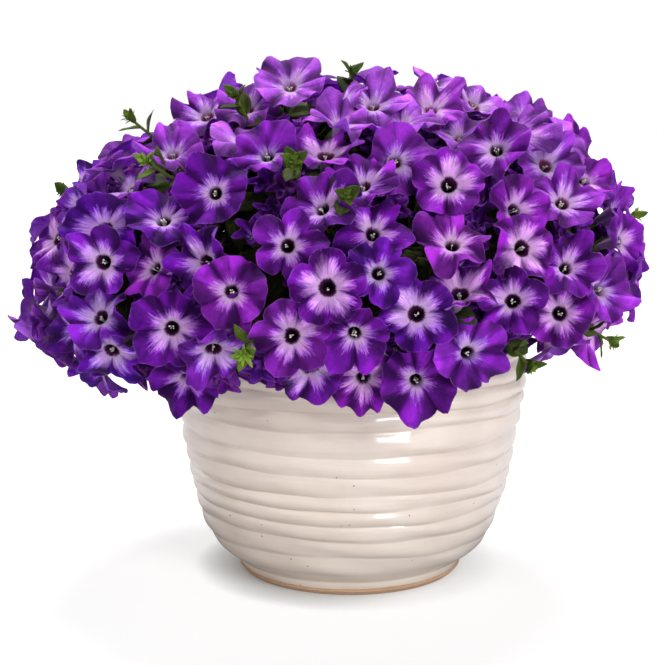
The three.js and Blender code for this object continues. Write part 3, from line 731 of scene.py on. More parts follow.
blooms = []
for column, row, turn, lift, out in FRONT_BLOOMS:
    spot = seen_through(column, row)
    blooms.append({"at": spot + outward(spot) * out, "face": facing(turn, lift), "out": out})
by_hand = list(blooms)
for i, lift in enumerate(even_lifts(SPIRAL_BLOOMS)):
    spot = on_mound(i * GOLDEN_ANGLE + 5 * (draw(i, 1) - 0.5), lift + 3 * (draw(i, 2) - 0.5))
    if any((b["at"] - spot).length < OWN_ROOM for b in by_hand):
        continue
    if any((shoot["tip"] - spot).length < SHOOT_ROOM for shoot in shoots):
        continue
    out = freest_layer(i, spot, blooms)
    tip_over = Vector((draw(i, 4) - 0.5, draw(i, 5) - 0.5, draw(i, 6) - 0.4)) * LEAN
    face = (outward(spot) + tip_over).normalized()
    blooms.append({"at": spot + outward(spot) * out, "face": face, "out": out})
for i, bloom in enumerate(blooms):
    bloom["number"] = i
    bloom["radius"] = BLOOM_RADIUS * (0.92 + 0.16 * draw(i, 7))
    bloom["roll"] = 72 * draw(i, 8)
    side = Vector((0, 0, 1)).cross(bloom["face"])
    side = side.normalized() if side.length > 1e-3 else Vector((1, 0, 0))
    bloom["axes"] = np.array([side, bloom["face"].cross(side), bloom["face"]])
print("blooms:", len(blooms), "shoots:", len(shoots))

# %% [markdown]
# ## Stalks
# Each spray has one stalk out of the potting mix. It bends outwards over the rim and ends where the
# bloom stalks fork off. Three or four points and a smooth spline through them draw that well.


# %% A smooth line through points
def length_along(line):
    """How far along a line each of its points lies."""
    return np.concatenate([[0], np.cumsum(np.linalg.norm(np.diff(line, axis=0), axis=1))])


def along_line(line, wanted):
    """Points at the wanted lengths along a line."""
    length = length_along(line)
    return np.stack([np.interp(wanted, length, line[:, k]) for k in range(3)], axis=1)


def through(ends, count):
    """count points evenly along a smooth line through the end points (centripetal spline)."""
    p = [np.array(v, float) for v in ends]
    p = [2 * p[0] - p[1], *p, 2 * p[-1] - p[-2]]
    t = np.linspace(0, 1, 80)[:, None]
    line = []
    for k in range(1, len(p) - 2):
        dt = [max(np.linalg.norm(p[k + j] - p[k + j - 1]) ** 0.5, 1e-4) for j in range(3)]
        t1 = ((p[k] - p[k - 1]) / dt[0] - (p[k + 1] - p[k - 1]) / (dt[0] + dt[1])
              + (p[k + 1] - p[k]) / dt[1]) * dt[1]
        t2 = ((p[k + 1] - p[k]) / dt[1] - (p[k + 2] - p[k]) / (dt[1] + dt[2])
              + (p[k + 2] - p[k + 1]) / dt[2]) * dt[1]
        a, b = -3 * p[k] + 3 * p[k + 1] - 2 * t1 - t2, 2 * p[k] - 2 * p[k + 1] + t1 + t2
        line.append(p[k] + t1 * t + a * t ** 2 + b * t ** 3)
    line = np.concatenate(line)
    return along_line(line, np.linspace(0, length_along(line)[-1], count))


print("a bent line's middle:", through([(0, 0, 0), (10, 0, 0), (10, 10, 0)], 3)[1].round(1))


# %% Routes of the stalks
def stalk_ends(turn, lift, inset, ends):
    away = 26 + 76 * math.cos(math.radians(max(0, lift))) - inset
    start = facing(turn, 0) * away
    return [(start.x, start.y, MIX_TOP - 20), (start.x, start.y, POT_HEIGHT + 4), *ends]


def fork_point(turn, lift):
    inside = on_mound(turn, lift, 0.74)
    inside.z = max(inside.z, POT_HEIGHT + 24)
    return inside


def before_end(bends, distance):
    """The point of a stalk's last straight stretch in CAD, this far before its end."""
    last, end = np.array(bends[-2]), np.array(bends[-1])
    return end + (last - end) * distance / np.linalg.norm(last - end)


SPRAY_COUNT = 42
sprays = []
for i, lift in enumerate(even_lifts(SPRAY_COUNT)):
    turn = i * GOLDEN_ANGLE
    ends = stalk_ends(turn, lift, 0, [fork_point(turn, lift)])
    sprays.append({"turn": turn, "lift": lift, "blooms": [], "gaps": [], "line": through(ends, 25),
                   "bends": through(ends, 5), "track": through(ends, 15)})
print("sprays:", len(sprays))

# %% Give each bloom to a spray
CLEAR_OF_STALKS = 9  # mm between a bloom's own stalk and the stalks of other sprays


def is_clear(spray, bloom):
    """Whether a straight stalk from the spray to the bloom keeps clear of the other stalks."""
    start = spray["line"][-1]
    others = np.concatenate([other["track"] for other in sprays if other is not spray])
    stalk = [start + (np.array(bloom["at"]) - start) * share for share in (0.2, 0.35, 0.5, 0.65, 0.8)]
    return all(np.linalg.norm(others - point, axis=1).min() > CLEAR_OF_STALKS for point in stalk)


for bloom in blooms:
    nearest = sorted(sprays, key=lambda s: (on_mound(s["turn"], s["lift"]) - bloom["at"]).length)[:3]
    next((s for s in nearest if is_clear(s, bloom)), nearest[0])["blooms"].append(bloom)
outside = 0
for i, spray in enumerate(sprays):
    spray["node"] = f"bloom_spray_{i + 1:02d}"
    low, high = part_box(spray["node"])
    for k, bloom in enumerate(spray["blooms"]):
        bloom["foot"] = before_end(spray["bends"], 2 + 4 * k)
        at = bloom["at"] * MM
        outside += any(at[n] < low[n] - 0.002 or at[n] > high[n] + 0.002 for n in range(3))
print("blooms outside their CAD node's box:", outside)

# %% [markdown]
# ## The shape of one bloom
# A petunia bloom is one trumpet. Its five lobes are joined nearly to their tips, each folded along
# a midrib, with a shallow notch between two lobes. A subdivision surface over a few faces would
# melt the folds away, so each bloom is a round grid: columns run round it and rings run from the
# throat to the edge. How far it stands forward is one number for each point of the grid.

# %% The grid of a bloom
COLUMNS = 60  # round a bloom, 12 to a lobe
LIMB_START = 5.4  # mm from the axis, where the throat opens into the limb
FUNNEL_DEPTH = 7.6
LIMB_STEPS = np.array([0.0, 0.09, 0.2, 0.32, 0.44, 0.56, 0.68, 0.79, 0.89, 0.96, 1.0])
column = np.arange(COLUMNS)
ROUND = 2 * np.pi * column / COLUMNS
RIB = 1 - np.abs(1 - (column % 12) / 6)  # 0 on a lobe's midrib, 1 in the notch
LOBE = ((column + 6) // 12) % 5


def by_lobe(n, trait, low, high, lean=1.0):
    """One draw for each lobe of the nth bloom, spread to the columns. A lean above 1 keeps most
    lobes near the low end."""
    return np.array([low + (high - low) * draw(n, trait + k) ** lean for k in range(5)])[LOBE]


def edge_on(bloom):
    """0 for a bloom that faces the viewer, 1 for one seen from its side, which is kept calmer."""
    return float(smooth(abs(bloom["face"].y), 0.5, 0.2))


print("blooms seen from their side:", sum(edge_on(bloom) > 0.5 for bloom in blooms))

# %% The outline of a bloom
def edge_of(bloom, calm):
    """How far the limb reaches from the axis in each column."""
    n = bloom["number"]
    notch = 0.60 + 0.28 * draw(n, 40)
    broad = (1 - RIB ** (1.7 + 0.9 * draw(n, 69))) ** 0.85
    tip = (0.035 + 0.07 * draw(n, 39)) * np.exp(-(RIB / 0.17) ** 2)
    frill = 0.012 * np.sin(13 * ROUND + phase(n, 48)) + 0.007 * np.sin(21 * ROUND + phase(n, 49))
    share = notch + (1 - notch) * broad + tip
    return bloom["radius"] * share * by_lobe(n, 50, 0.82, 1.04) ** (1 - RIB) * (1 + frill * calm)


print("the first bloom's edge, mm:", edge_of(blooms[0], 1.0)[:7].round(1))

# %% The folds of a bloom
# Sways take two or three sides of the whole bloom forwards. Ripples are finer: mm high, waves round
# the bloom, how far they drift on their way out, the trait that turns them, and how late they rise.
SWAYS = [(8.5, 42, 0.4, 2, 43), (4.5, 44, 0.5, 3, 45)]
RIPPLES = [(0.25, 23, 0, 47, 7), (0.55, 9, 5, 71, 1), (0.32, 16, -8, 72, 1)]


def limb_of(bloom):
    """The radius and height of each point of a bloom's limb, as two grids."""
    n = bloom["number"]
    sideways = edge_on(bloom)
    calm = 1 - 0.65 * sideways
    t = LIMB_STEPS[:, None]
    radius = LIMB_START + (edge_of(bloom, calm) - LIMB_START) * t

    # Each lobe bulges like a pillow between two creases, and leans back or forwards on its own.
    middle = 4 * t * (1 - t)
    outer = t * (1.5 - 0.5 * t)
    within = 1 - RIB ** 1.6
    height = -FUNNEL_DEPTH * (1 - t) ** 1.7 + 1.2 * RIB ** 1.5 * t ** 2
    height += (3.0 - by_lobe(n, 20, 0.0, 13.0, 1.5)) * within * t ** 2 * calm
    height += (1.4 + 2.0 * draw(n, 41)) * np.cos(5 * ROUND) * (0.6 * middle + 0.3 * t ** 2)
    height += by_lobe(n, 70, -8.5, 8.5) * np.sin(5 * ROUND) * t ** 1.6 * calm
    height += by_lobe(n, 170, -4.0, 4.0) * np.sin(10 * ROUND) * t ** 2 * calm
    height -= (0.5 + 1.8 * draw(n, 68)) * (1 - RIB) ** 5 * middle + 3.0 * sideways * t ** 2
    height -= (1.6 + 2.4 * draw(n, 64)) * RIB ** 6 * outer
    for most, trait, level, waves, start in SWAYS:
        height += most * (draw(n, trait) - level) * np.cos(waves * ROUND + phase(n, start)) * t ** 2
    for most, waves, drift, start, late in [(0.4 + 0.5 * draw(n, 65), 13, 0, 46, 4), *RIPPLES]:
        height += most * np.sin(waves * ROUND + drift * t + phase(n, start)) * t ** late * calm
    return radius, height


print("a bloom's folds, mm:", np.ptp(limb_of(blooms[0])[1][-1]).round(1))

# %% Set every bloom in its place
def unevenness(bloom, turn, radius):
    """How far a lobe is pushed round the bloom, in radians, because lobes aren't spaced evenly."""
    n = bloom["number"]
    pushed = 0.09 * np.sin(turn + phase(n, 66)) + 0.06 * np.sin(2 * turn + phase(n, 67))
    return pushed * np.minimum(1, radius / BLOOM_RADIUS)


def in_place(bloom, radius, height):
    """Grids of radius and height as points in the plant."""
    turn = np.radians(bloom["roll"]) + ROUND + unevenness(bloom, ROUND, radius)
    side, up, face = bloom["axes"]
    return (np.array(bloom["at"]) + (radius * np.cos(turn))[..., None] * side
            + (radius * np.sin(turn))[..., None] * up + (height * np.ones(COLUMNS))[..., None] * face)


for bloom in blooms:
    bloom["limb"] = limb_of(bloom)
    bloom["skin"] = in_place(bloom, *bloom["limb"])
print("limb grid:", blooms[0]["skin"].shape)

# %% [markdown]
# ## Petals give way to each other
# Real blooms push each other aside as they open. So wherever a limb would pass through a neighbour
# that lies in front of it, its points slide back behind that neighbour. The slides are smoothed
# over the grid, so that a petal bends and doesn't crease.

# %% Two ways of giving way
GAP, MOST_BEND = 1.0, 11
TUBE_ROOM, RETREAT_WIDTH, MOST_RETREAT = 8.5, 15, 20
NEAR_EDGE = 8  # mm past a neighbour's edge where a petal still gives way


def lies_behind(low, high):
    line = low["at"] - high["at"]
    return low is not high and line.length <= 2.3 * BLOOM_RADIUS and line.dot(low["face"] + high["face"]) <= 0


def retreat(low, high):
    """Draws a petal's tip back to its own throat where it would meet the other bloom's tube."""
    face = high["axes"][2]
    offset = low["skin"] - np.array(high["at"])
    way = np.array(low["at"] - high["at"])
    way = way - face * (way @ face)
    if np.linalg.norm(way) < 1:
        return
    way = unit(way)
    along, across, height = offset @ way, offset @ np.cross(face, way), offset @ face
    shift = (np.clip(TUBE_ROOM - along, 0, MOST_RETREAT) * smooth(np.abs(across), RETREAT_WIDTH, 5.0)
             * smooth(height, 3.0, -3.0))
    low["skin"] = low["skin"] + shift[..., None] * way


def slide_behind(low, high):
    """Slides a petal's points back until they lie behind the other bloom's limb."""
    offset = low["skin"] - np.array(high["at"])
    side, up, face = high["axes"]
    height = offset @ face
    x, y = offset @ side, offset @ up
    radius = np.hypot(x, y)
    turn = np.arctan2(y, x) - math.radians(high["roll"])
    turn = turn - unevenness(high, turn, radius)
    near = np.round(turn / (2 * np.pi) * COLUMNS).astype(int) % COLUMNS
    edge, rows = high["limb"][0][-1][near], high["limb"][1][:, near]
    t = np.clip((radius - LIMB_START) / (edge - LIMB_START), 0, 1)
    step = np.clip(np.searchsorted(LIMB_STEPS, t) - 1, 0, len(LIMB_STEPS) - 2)
    share = (t - LIMB_STEPS[step]) / (LIMB_STEPS[step + 1] - LIMB_STEPS[step])
    index = tuple(np.indices(step.shape))
    here, beyond = rows[(step, *index)], rows[(step + 1, *index)]
    limit = here + (beyond - here) * share - GAP - 1.5 * np.clip(1 - t, 0, 1) ** 2
    limit = limit + 1.1 * np.clip(radius - edge, 0, NEAR_EDGE)
    excess = np.where((radius < edge + NEAR_EDGE) & (height > limit), height - limit, 0)
    low["skin"] = low["skin"] - excess[..., None] * face


print("pairs that meet:", sum(lies_behind(low, high) for low in blooms for high in blooms))

# %% Slide limbs behind their neighbours
ROUNDS = ((retreat, 2), (slide_behind, 4), (slide_behind, 1))  # each with its passes of smoothing


def softened(slides, passes, most):
    """The slides smoothed over the grid, none at the throat, and none past the most allowed."""
    for _ in range(passes):
        slides = (slides + np.roll(slides, 1, 1) + np.roll(slides, -1, 1)) / 3
        slides[1:-1] = (slides[:-2] + 2 * slides[1:-1] + slides[2:]) / 4
    slides = slides * np.minimum(1, LIMB_STEPS / 0.2)[:, None, None]
    length = np.linalg.norm(slides, axis=2)[..., None]
    return slides * most * np.tanh(length / most) / np.maximum(length, 1e-6)


for low in blooms:
    before = low["skin"].copy()
    in_front = [high for high in blooms if lies_behind(low, high)]
    for give_way, passes in ROUNDS:
        start = low["skin"].copy()
        for high in in_front:
            give_way(low, high)
        most = MOST_BEND * (1 - 0.55 * edge_on(low))
        low["skin"] = start + softened(low["skin"] - start, passes, most)
    low["bent"] = float(np.linalg.norm(low["skin"] - before, axis=2).max())
print("most bent, mm:", round(max(b["bent"] for b in blooms), 1))

# %% [markdown]
# ## From skin to trumpet
# A petal is a thin body, not a sheet, so each limb gets a back skin half a millimetre behind its
# front one. The front skin runs on down into the throat and the back one into the slender tube,
# which curves down to its stalk. The paint values say where each point lies: round the axis and
# out from it, how far from the midrib, and on which side of the petal.

# %% Lines and tubes of a bloom
PETAL_THICKNESS = 0.5
TUBE_START = 7.2  # mm behind the bloom's face, where the tube's line begins
# Each pair is how far along the tube's line and the radius there, in mm: the throat's wall from its
# bottom up to the mouth, and the tube's outside from the mouth down to the calyx.
THROAT = [(13.0, 0.5), (12.0, 1.5), (9.5, 2.3), (7.0, 3.0), (4.6, 3.7), (2.6, 4.4), (1.2, 4.9)]
TUBE = [(1.6, 5.5), (3.4, 4.9), (5.6, 4.2), (8.5, 3.5), (12.5, 2.9), (17.0, 2.4), (22.0, 1.9), (27.0, 1.5)]
TUBE_LENGTH = TUBE[-1][0]


def bowed(start, way, end, count):
    """A line that leaves start along way and bows to end."""
    reach = np.linalg.norm(end - start)
    first, second = start + way * reach * 0.4, end + (start - end) * 0.3
    t = np.linspace(0, 1, count)[:, None]
    return ((1 - t) ** 3 * start + 3 * (1 - t) ** 2 * t * first
            + 3 * (1 - t) * t ** 2 * second + t ** 3 * end)


def hose(line, radii, columns, side=None, hand=1):
    """Rings of points round a line, each turned as little as can be from the one before it."""
    steps = np.gradient(line, axis=0)
    steps /= np.linalg.norm(steps, axis=1)[:, None]
    side = np.cross(steps[0], (0.3, 0.2, 1.0)) if side is None else side
    turn = np.linspace(0, 2 * np.pi, columns, endpoint=False)
    rings = []
    for point, step, radius in zip(line, steps, radii):
        side = unit(side - step * (side @ step))
        other = np.cross(step, side) * hand
        rings.append(point + radius * (np.cos(turn)[:, None] * side + np.sin(turn)[:, None] * other))
    return np.array(rings)


print("the tube's length, mm:", TUBE_LENGTH)

# %% Build the petals of a bloom
# The folds also become paint: the petal material darkens their valleys as painted shade and lightens their
# crests as painted light.
FULL_FOLD = 5.0  # mm from a valley's bottom to a crest that count as the darkest and the lightest


def spread(rows, columns, *values):
    """Three paint values for each point of a grid. Each is one number, or one for each column or row."""
    return np.stack([np.broadcast_to(value, (rows, columns)) for value in values], axis=2)


def fold_shade_of(height):
    """How far each point of a limb stands above (near 1) or below (near 0) the points round it."""
    level = height.copy()
    for _ in range(14):
        level = (level + np.roll(level, 1, 1) + np.roll(level, -1, 1)) / 3
    return np.clip(0.5 + (height - level) / FULL_FOLD * np.minimum(1, LIMB_STEPS / 0.3)[:, None], 0, 1)


def skins_of(bloom):
    """The rings of a bloom from the bottom of its throat over the edge to the end of its tube."""
    face, front = bloom["axes"][2], bloom["skin"]
    normals = np.cross(np.gradient(front, axis=1), np.gradient(front, axis=0))
    normals = normals / np.linalg.norm(normals, axis=2)[..., None]
    normals[(normals @ face) < 0] *= -1
    back = (front - PETAL_THICKNESS * normals)[::-1]
    bloom["line"] = bowed(np.array(bloom["at"]) - TUBE_START * face, -face, bloom["foot"], 40)
    depths = sorted({depth for depth, _ in THROAT + TUBE})
    middles = along_line(bloom["line"], depths)
    start_side = turned(math.radians(bloom["roll"]), *bloom["axes"][:2])
    around = hose(middles, np.ones(len(depths)), COLUMNS, side=start_side, hand=-1)

    def ring_at(depth, radius):
        k = depths.index(depth)
        return middles[k] + radius * (around[k] - middles[k])

    return np.concatenate([[ring_at(*row) for row in THROAT], front, back, [ring_at(*row) for row in TUBE]])


def add_bloom(heap, bloom):
    n = bloom["number"]
    points = skins_of(bloom)
    rows, inner, limb = len(points), len(THROAT), len(LIMB_STEPS)
    limb_shares = 0.2 + 0.8 * LIMB_STEPS
    shares = np.concatenate([[radius / BLOOM_RADIUS for _, radius in THROAT], limb_shares,
                             limb_shares[::-1], np.linspace(0.19, 0.12, len(TUBE))])
    behind = np.arange(rows) > inner + limb
    fold_shade = np.full((rows, COLUMNS), 0.5)
    fold_shade[inner:inner + limb] = fold_shade_of((bloom["skin"] - np.array(bloom["at"])) @ bloom["axes"][2])
    # The star reaches further on some lobes than on others.
    reach = bloom["star"] + by_lobe(n, 215, -0.13, 0.13)
    # The petal paint carries the bloom's painted light as its third number.
    heap.add(points, [tuple(reversed(face)) for face in capped(rows, COLUMNS)],
             place=spread(rows, COLUMNS, np.cos(ROUND), np.sin(ROUND), shares[:, None]),
             petal=spread(rows, COLUMNS, RIB, behind[:, None], bloom["glow"]),
             fold=spread(rows, COLUMNS, fold_shade, by_lobe(n, 210, 0.0, 1.0), 0.5),
             tone=spread(rows, COLUMNS, n * 1.37, reach, bloom["hue"]))


print("rings of a bloom:", len(THROAT) + 2 * len(LIMB_STEPS) + len(TUBE))

# %% How much painted light each bloom gets
# Painted light: blooms that look up and stand high get the most, as if the lamp behind shone
# through them, and those to the right of the view are painted lighter and redder, those to the left
# darker and bluer. A random share is each bloom's own tone.
for bloom in blooms:
    n, rightwards = bloom["number"], bloom["at"].x / MOUND["across"]
    lift = math.degrees(math.asin(bloom["axes"][2][2]))
    height = (bloom["at"].z - 300) / 100
    glow = 0.15 + 0.75 * smooth(height + lift / 120, 0.1, 1.2) + 0.55 * (draw(n, 80) - 0.5)
    bloom["glow"] = float(np.clip(glow + 0.22 * rightwards, 0, 1))
    bloom["star"] = 0.46 + 0.30 * draw(n, 81)
    bloom["hue"] = float(np.clip(0.8 * draw(n, 82) + 0.1 + 0.25 * rightwards, 0, 1))
print("glow of the first blooms:", [round(b["glow"], 2) for b in blooms[:5]])

# %% [markdown]
# ## Green parts
# Behind each bloom a green calyx of five narrow sepals holds the tube, on a thin stalk of its own.
# Leaves sit all along the stalks, and show as dark green where blooms leave a gap. A leaf is a thin
# lens: two skins that share their edge, folded along the midrib and arched over.


# %% One leaf blade
LEAF_THICKNESS = 0.5


def blade(root, along, normal, length, width, fold=0.25, arch=0.15, rows=8, half=2):
    """Points and faces of a thin arched leaf, with each point's place on it."""
    across = unit(np.cross(along, normal))
    a = np.linspace(0, 1, rows + 1)
    b = np.linspace(-1, 1, 2 * half + 1)
    spread = width / 2 * (np.sin(np.pi * np.clip(a, 0, 1) ** 0.9) ** 0.75 + 0.08 * (1 - a))
    spread[-1] = width * 0.02
    A, B = np.meshgrid(a, b, indexing="ij")
    S = spread[:, None]
    rise = fold * S * np.abs(B) - arch * length * A ** 2 + 0.03 * length * np.abs(B) * np.sin(9 * A + length)
    middle = (root + along * (A * length)[..., None] + across * (S * B)[..., None]
              + normal * rise[..., None])
    inner = (1 - B ** 2) * LEAF_THICKNESS / 2 * np.minimum(1, 8 * (1 - A) + 0.1)
    top, under = middle + normal * inner[..., None], middle - normal * inner[..., None]
    columns = 2 * half + 1
    top_count = (rows + 1) * columns
    index = np.arange(top_count).reshape(rows + 1, columns)
    lower = index.copy()
    lower[:, 1:-1] = top_count + np.arange((rows + 1) * (columns - 2)).reshape(rows + 1, columns - 2)
    faces = []
    for r in range(rows):
        for c in range(columns - 1):
            faces.append((index[r, c], index[r, c + 1], index[r + 1, c + 1], index[r + 1, c]))
            faces.append((lower[r, c], lower[r + 1, c], lower[r + 1, c + 1], lower[r, c + 1]))
    faces.append((*index[0], *lower[0, 1:-1][::-1])[::-1])
    faces.append((*index[-1], *lower[-1, 1:-1][::-1]))
    points = np.concatenate([top.reshape(-1, 3), under[:, 1:-1].reshape(-1, 3)])
    where = np.stack([A, B, np.zeros_like(A)], axis=2)
    where = np.concatenate([where.reshape(-1, 3), where[:, 1:-1].reshape(-1, 3)])
    return points, faces, where


def add_leaf(heap, root, along, normal, length, width, young_and_lit, seed, **shape):
    points, faces, where = blade(root, along, normal, length, width, **shape)
    heap.add(points, faces, leaf=where, age=(young_and_lit, seed, 0))


print("faces of a leaf:", len(blade(np.zeros(3), np.array((1, 0, 0)), np.array((0, 0, 1)), 30, 14)[1]))

# %% Stalks, hairs and sepals
ON_STALK = (0.5, 0.5, 1)  # the paint of what isn't a leaf: no midrib, and stalk colours
SEPALS = 5


def add_hose(heap, line, radii, columns, young_and_lit, seed):
    heap.add(hose(line, radii, columns), capped(len(line), columns), leaf=ON_STALK, age=(young_and_lit, seed, 0))


def add_hair(heap, root, way, length):
    """One sticky hair, a thin three-sided spike."""
    side = unit(np.cross(way, (0.2, 0.9, 0.4)))
    base = [root + 0.07 * turned(t, side, np.cross(way, side)) for t in (0, 2.1, 4.2)]
    heap.add([*base, root + way * length], [(0, 2, 1), (0, 1, 3), (1, 2, 3), (2, 0, 3)],
             leaf=ON_STALK, age=(0.9, 0, 0))


def frame_round(way):
    """A way 1 long, and two directions across it."""
    way = unit(way)
    side = unit(np.cross(way, (0.1, 0.25, 1.0)))
    return way, side, np.cross(way, side)


def add_calyx(heap, base, way, seed, size=1.0):
    way, side, other = frame_round(way)
    for k in range(SEPALS):
        out = turned(2 * math.pi * k / SEPALS + seed, side, other)
        add_leaf(heap, base + out * 1.2, way * 0.93 + out * 0.37, -out * 0.93 + way * 0.37,
                 10.5 * size, 2.8 * size, 0.45, seed, fold=0.15, arch=-0.12, rows=4, half=1)


print("sepals:", SEPALS)

# %% The greens of one bloom
LEAVES_A_BLOOM = 6


def add_greens(heap, bloom):
    """The calyx, the thin stalk and the leaves that belong to one bloom."""
    n = bloom["number"]
    reach = length_along(bloom["line"])[-1]
    stalk_start = min(TUBE_LENGTH - 2, reach * 0.6)
    line = along_line(bloom["line"], np.linspace(stalk_start, reach, 7))
    add_hose(heap, line, np.linspace(1.15, 0.9, 7), 7, 0.35, n)
    add_calyx(heap, line[0], line[0] - line[1], draw(n, 90) * 6)
    face, side, other = frame_round(bloom["axes"][2])
    for k in range(LEAVES_A_BLOOM):
        share = 0.05 + 0.17 * k
        root = along_line(bloom["line"], [stalk_start + share * (reach - stalk_start)])[0]
        out = turned(math.radians(GOLDEN_ANGLE * k + 360 * draw(n, 91)), side, other)
        tilt = math.radians(58 + 26 * draw(n, 92 + k))
        young_and_lit = (0.01 + 0.06 * draw(n, 107 + k)) * (1 - 0.8 * share)
        add_leaf(heap, root, turned(tilt, face, out), face * math.sin(tilt) - out * math.cos(tilt),
                 24 + 9 * draw(n, 95 + k), 12 + 4 * draw(n, 101 + k), young_and_lit, n, arch=0.22)


print("leaves behind the blooms:", LEAVES_A_BLOOM * len(blooms))

# %% Anthers and stigma
SIX = np.linspace(0, 2 * math.pi, 6, endpoint=False)
BALL = [(math.cos(a) * math.cos(e), math.sin(a) * math.cos(e), math.sin(e))
        for e in (-0.8, 0.0, 0.8) for a in SIX]
BALL_POINTS = np.array([(0, 0, -1), *BALL, (0, 0, 1)])
BALL_FACES = ([(0, 1 + (c + 1) % 6, 1 + c) for c in range(6)] + grid_faces(3, 6, first=1)
              + [(19, 13 + c, 13 + (c + 1) % 6) for c in range(6)])
ANTHER_SIZE = np.array((0.72, 0.55, 0.85))
ANTHERS = 5


def add_anthers(heap, bloom):
    """Up to five anthers and the stigma, in the mouth of the throat."""
    n = bloom["number"]
    face, side, other = frame_round(bloom["axes"][2])
    for k in range(ANTHERS + 1):
        if draw(n, 230 + k) > 0.72:
            continue  # hidden deeper in the throat
        is_anther = k < ANTHERS
        turn = math.radians(72 * k + 60 * draw(n, 110) + 50 * draw(n, 236 + k))
        away = 0.8 + 1.0 * draw(n, 242 + k) if is_anther else 0.3
        deep = -9.0 + 2.4 * draw(n, 111 + k)
        spot = np.array(bloom["at"]) + face * deep + away * turned(turn, side, other)
        size = ANTHER_SIZE * (0.65 + 0.45 * draw(n, 248 + k))
        ball = spot + BALL_POINTS * size @ np.array([side, other, face])
        heap.add(ball, BALL_FACES, anther=(1.0 if is_anther else 0.0, n, k))
        root = np.array(bloom["at"]) - face * (TUBE_START + THROAT[1][0])
        filament = hose(np.linspace(root, spot, 3), [0.22, 0.2, 0.2], 4)
        heap.add(filament, grid_faces(3, 4) + [(3, 2, 1, 0), (8, 9, 10, 11)], anther=(0.5, n, k))


print("one ball:", len(BALL_POINTS), "points")

# %% [markdown]
# Younger blooms sit deeper in the plant, still half furled, like folded umbrellas. They fill the gaps
# between the open blooms with dark petals. One is a pleated funnel: its rings widen towards the rim,
# run back inside, and twist a little on the way.

# %% Half-furled blooms
FURLED_LENGTH, FURLED_COLUMNS, FURLED_RINGS, PLEAT = 24, 30, 10, 0.42
FURLED_INSIDE = [(0.84, 1.5), (0.52, 5.0), (0.2, 9.0)]  # share of the rim's radius, and depth in mm


def add_furled(petals, greens, tip, way, foot, wide, n):
    way, side, other = frame_round(way)
    turn = np.linspace(0, 2 * np.pi, FURLED_COLUMNS, endpoint=False)
    s = np.linspace(0, 1, FURLED_RINGS)
    inside = np.array(FURLED_INSIDE)
    radius = np.append(1.1 + s + (wide - 2.1) * smooth(s, 0.4, 1.0), wide * inside[:, 0])
    depth = np.append(FURLED_LENGTH * (1 - s), inside[:, 1])
    pleat = np.append(PLEAT * smooth(s, 0.35, 0.9), PLEAT * inside[:, 0])
    behind = np.append(1 - 0.8 * smooth(s, 0.3, 0.7), np.zeros(len(inside)))
    s = np.append(s, inside[:, 0])
    wave = np.cos(5 * (turn + 0.05 * depth[:, None] + n))
    rings = radius[:, None] * (1 + pleat[:, None] * wave)
    points = (tip - way * depth[:, None, None] + (rings * np.cos(turn))[..., None] * side
              + (rings * np.sin(turn))[..., None] * other)
    size = len(s), FURLED_COLUMNS
    # The fold paint puts painted light on the crests of the pleats and painted shade in their valleys.
    petals.add(points, capped(*size), tone=(n * 1.37, 0.5, 0.8 * draw(n, 261)),
               place=spread(*size, np.cos(turn), np.sin(turn), (0.2 + 0.75 * s)[:, None]),
               petal=spread(*size, 0.5 - 0.5 * wave, behind[:, None], 0.1),
               fold=spread(*size, 0.5 + 0.4 * wave * (pleat[:, None] > 0.05), 0.7 * draw(n, 260), 0))
    start = tip - way * (FURLED_LENGTH - 1)
    add_hose(greens, bowed(start, -way, foot, 8), np.full(8, 0.9), 6, 0.2, n)
    add_calyx(greens, start, way, draw(n, 262) * 6, size=0.8)


print("a furled bloom's length, mm:", FURLED_LENGTH)

# %% [markdown]
# ## The colour of a petal
# Each bloom is deep violet with a pale feathery star round a near-black throat. The star runs
# furthest out along the five midribs, and painted shade darkens the notch lines between them. An
# image could paint this, but it would look the same on all blooms. So nodes work it out from the
# paint values: the way round the bloom, how far out, and how far from a midrib. The star is a group
# of its own, with the reach of its rays as an input.

# %% The feathery star
star_group, inside, outside = new_group(
    "feathery star",
    [("Place", VECTOR), ("Rib", FLOAT), ("Reach", FLOAT), ("Seed", FLOAT)], ["Star", "Core", "Ray"])
x, y, share = parts_of(star_group, inside.outputs["Place"])


def rays(fineness, drift, scale, detail, roughness):
    """A noise drawn out along the rays: quick round the bloom and slow on the way out."""
    outwards = reckon(star_group, "ADD", inside.outputs["Seed"], times(star_group, share, drift))
    way = joined(star_group, times(star_group, x, fineness), times(star_group, y, fineness), outwards)
    return noise(star_group, way, scale, detail, roughness)


thin_rays = rays(9.0, 2.5, 2.2, 2.0, 0.6)
in_notch = times(star_group, reckon(star_group, "POWER", inside.outputs["Rib"], 2.0), -0.11)
end = reckon(star_group, "ADD", inside.outputs["Reach"], in_notch)
for ray, weight in ((rays(3.1, 1.2, 1.6, 3.0, 0.75), 0.62), (thin_rays, 0.34),
                    (rays(26.0, 14.0, 2.0, 2.0, 0.7), 0.22)):
    end = past_middle(star_group, ray, weight, end)
left = reckon(star_group, "SUBTRACT", end, share)
feed_all(star_group, outside, Star=slope(star_group, left, -0.06, 0.12),
         Core=slope(star_group, left, 0.03, 0.30), Ray=thin_rays)
print("star nodes:", len(star_group.nodes))

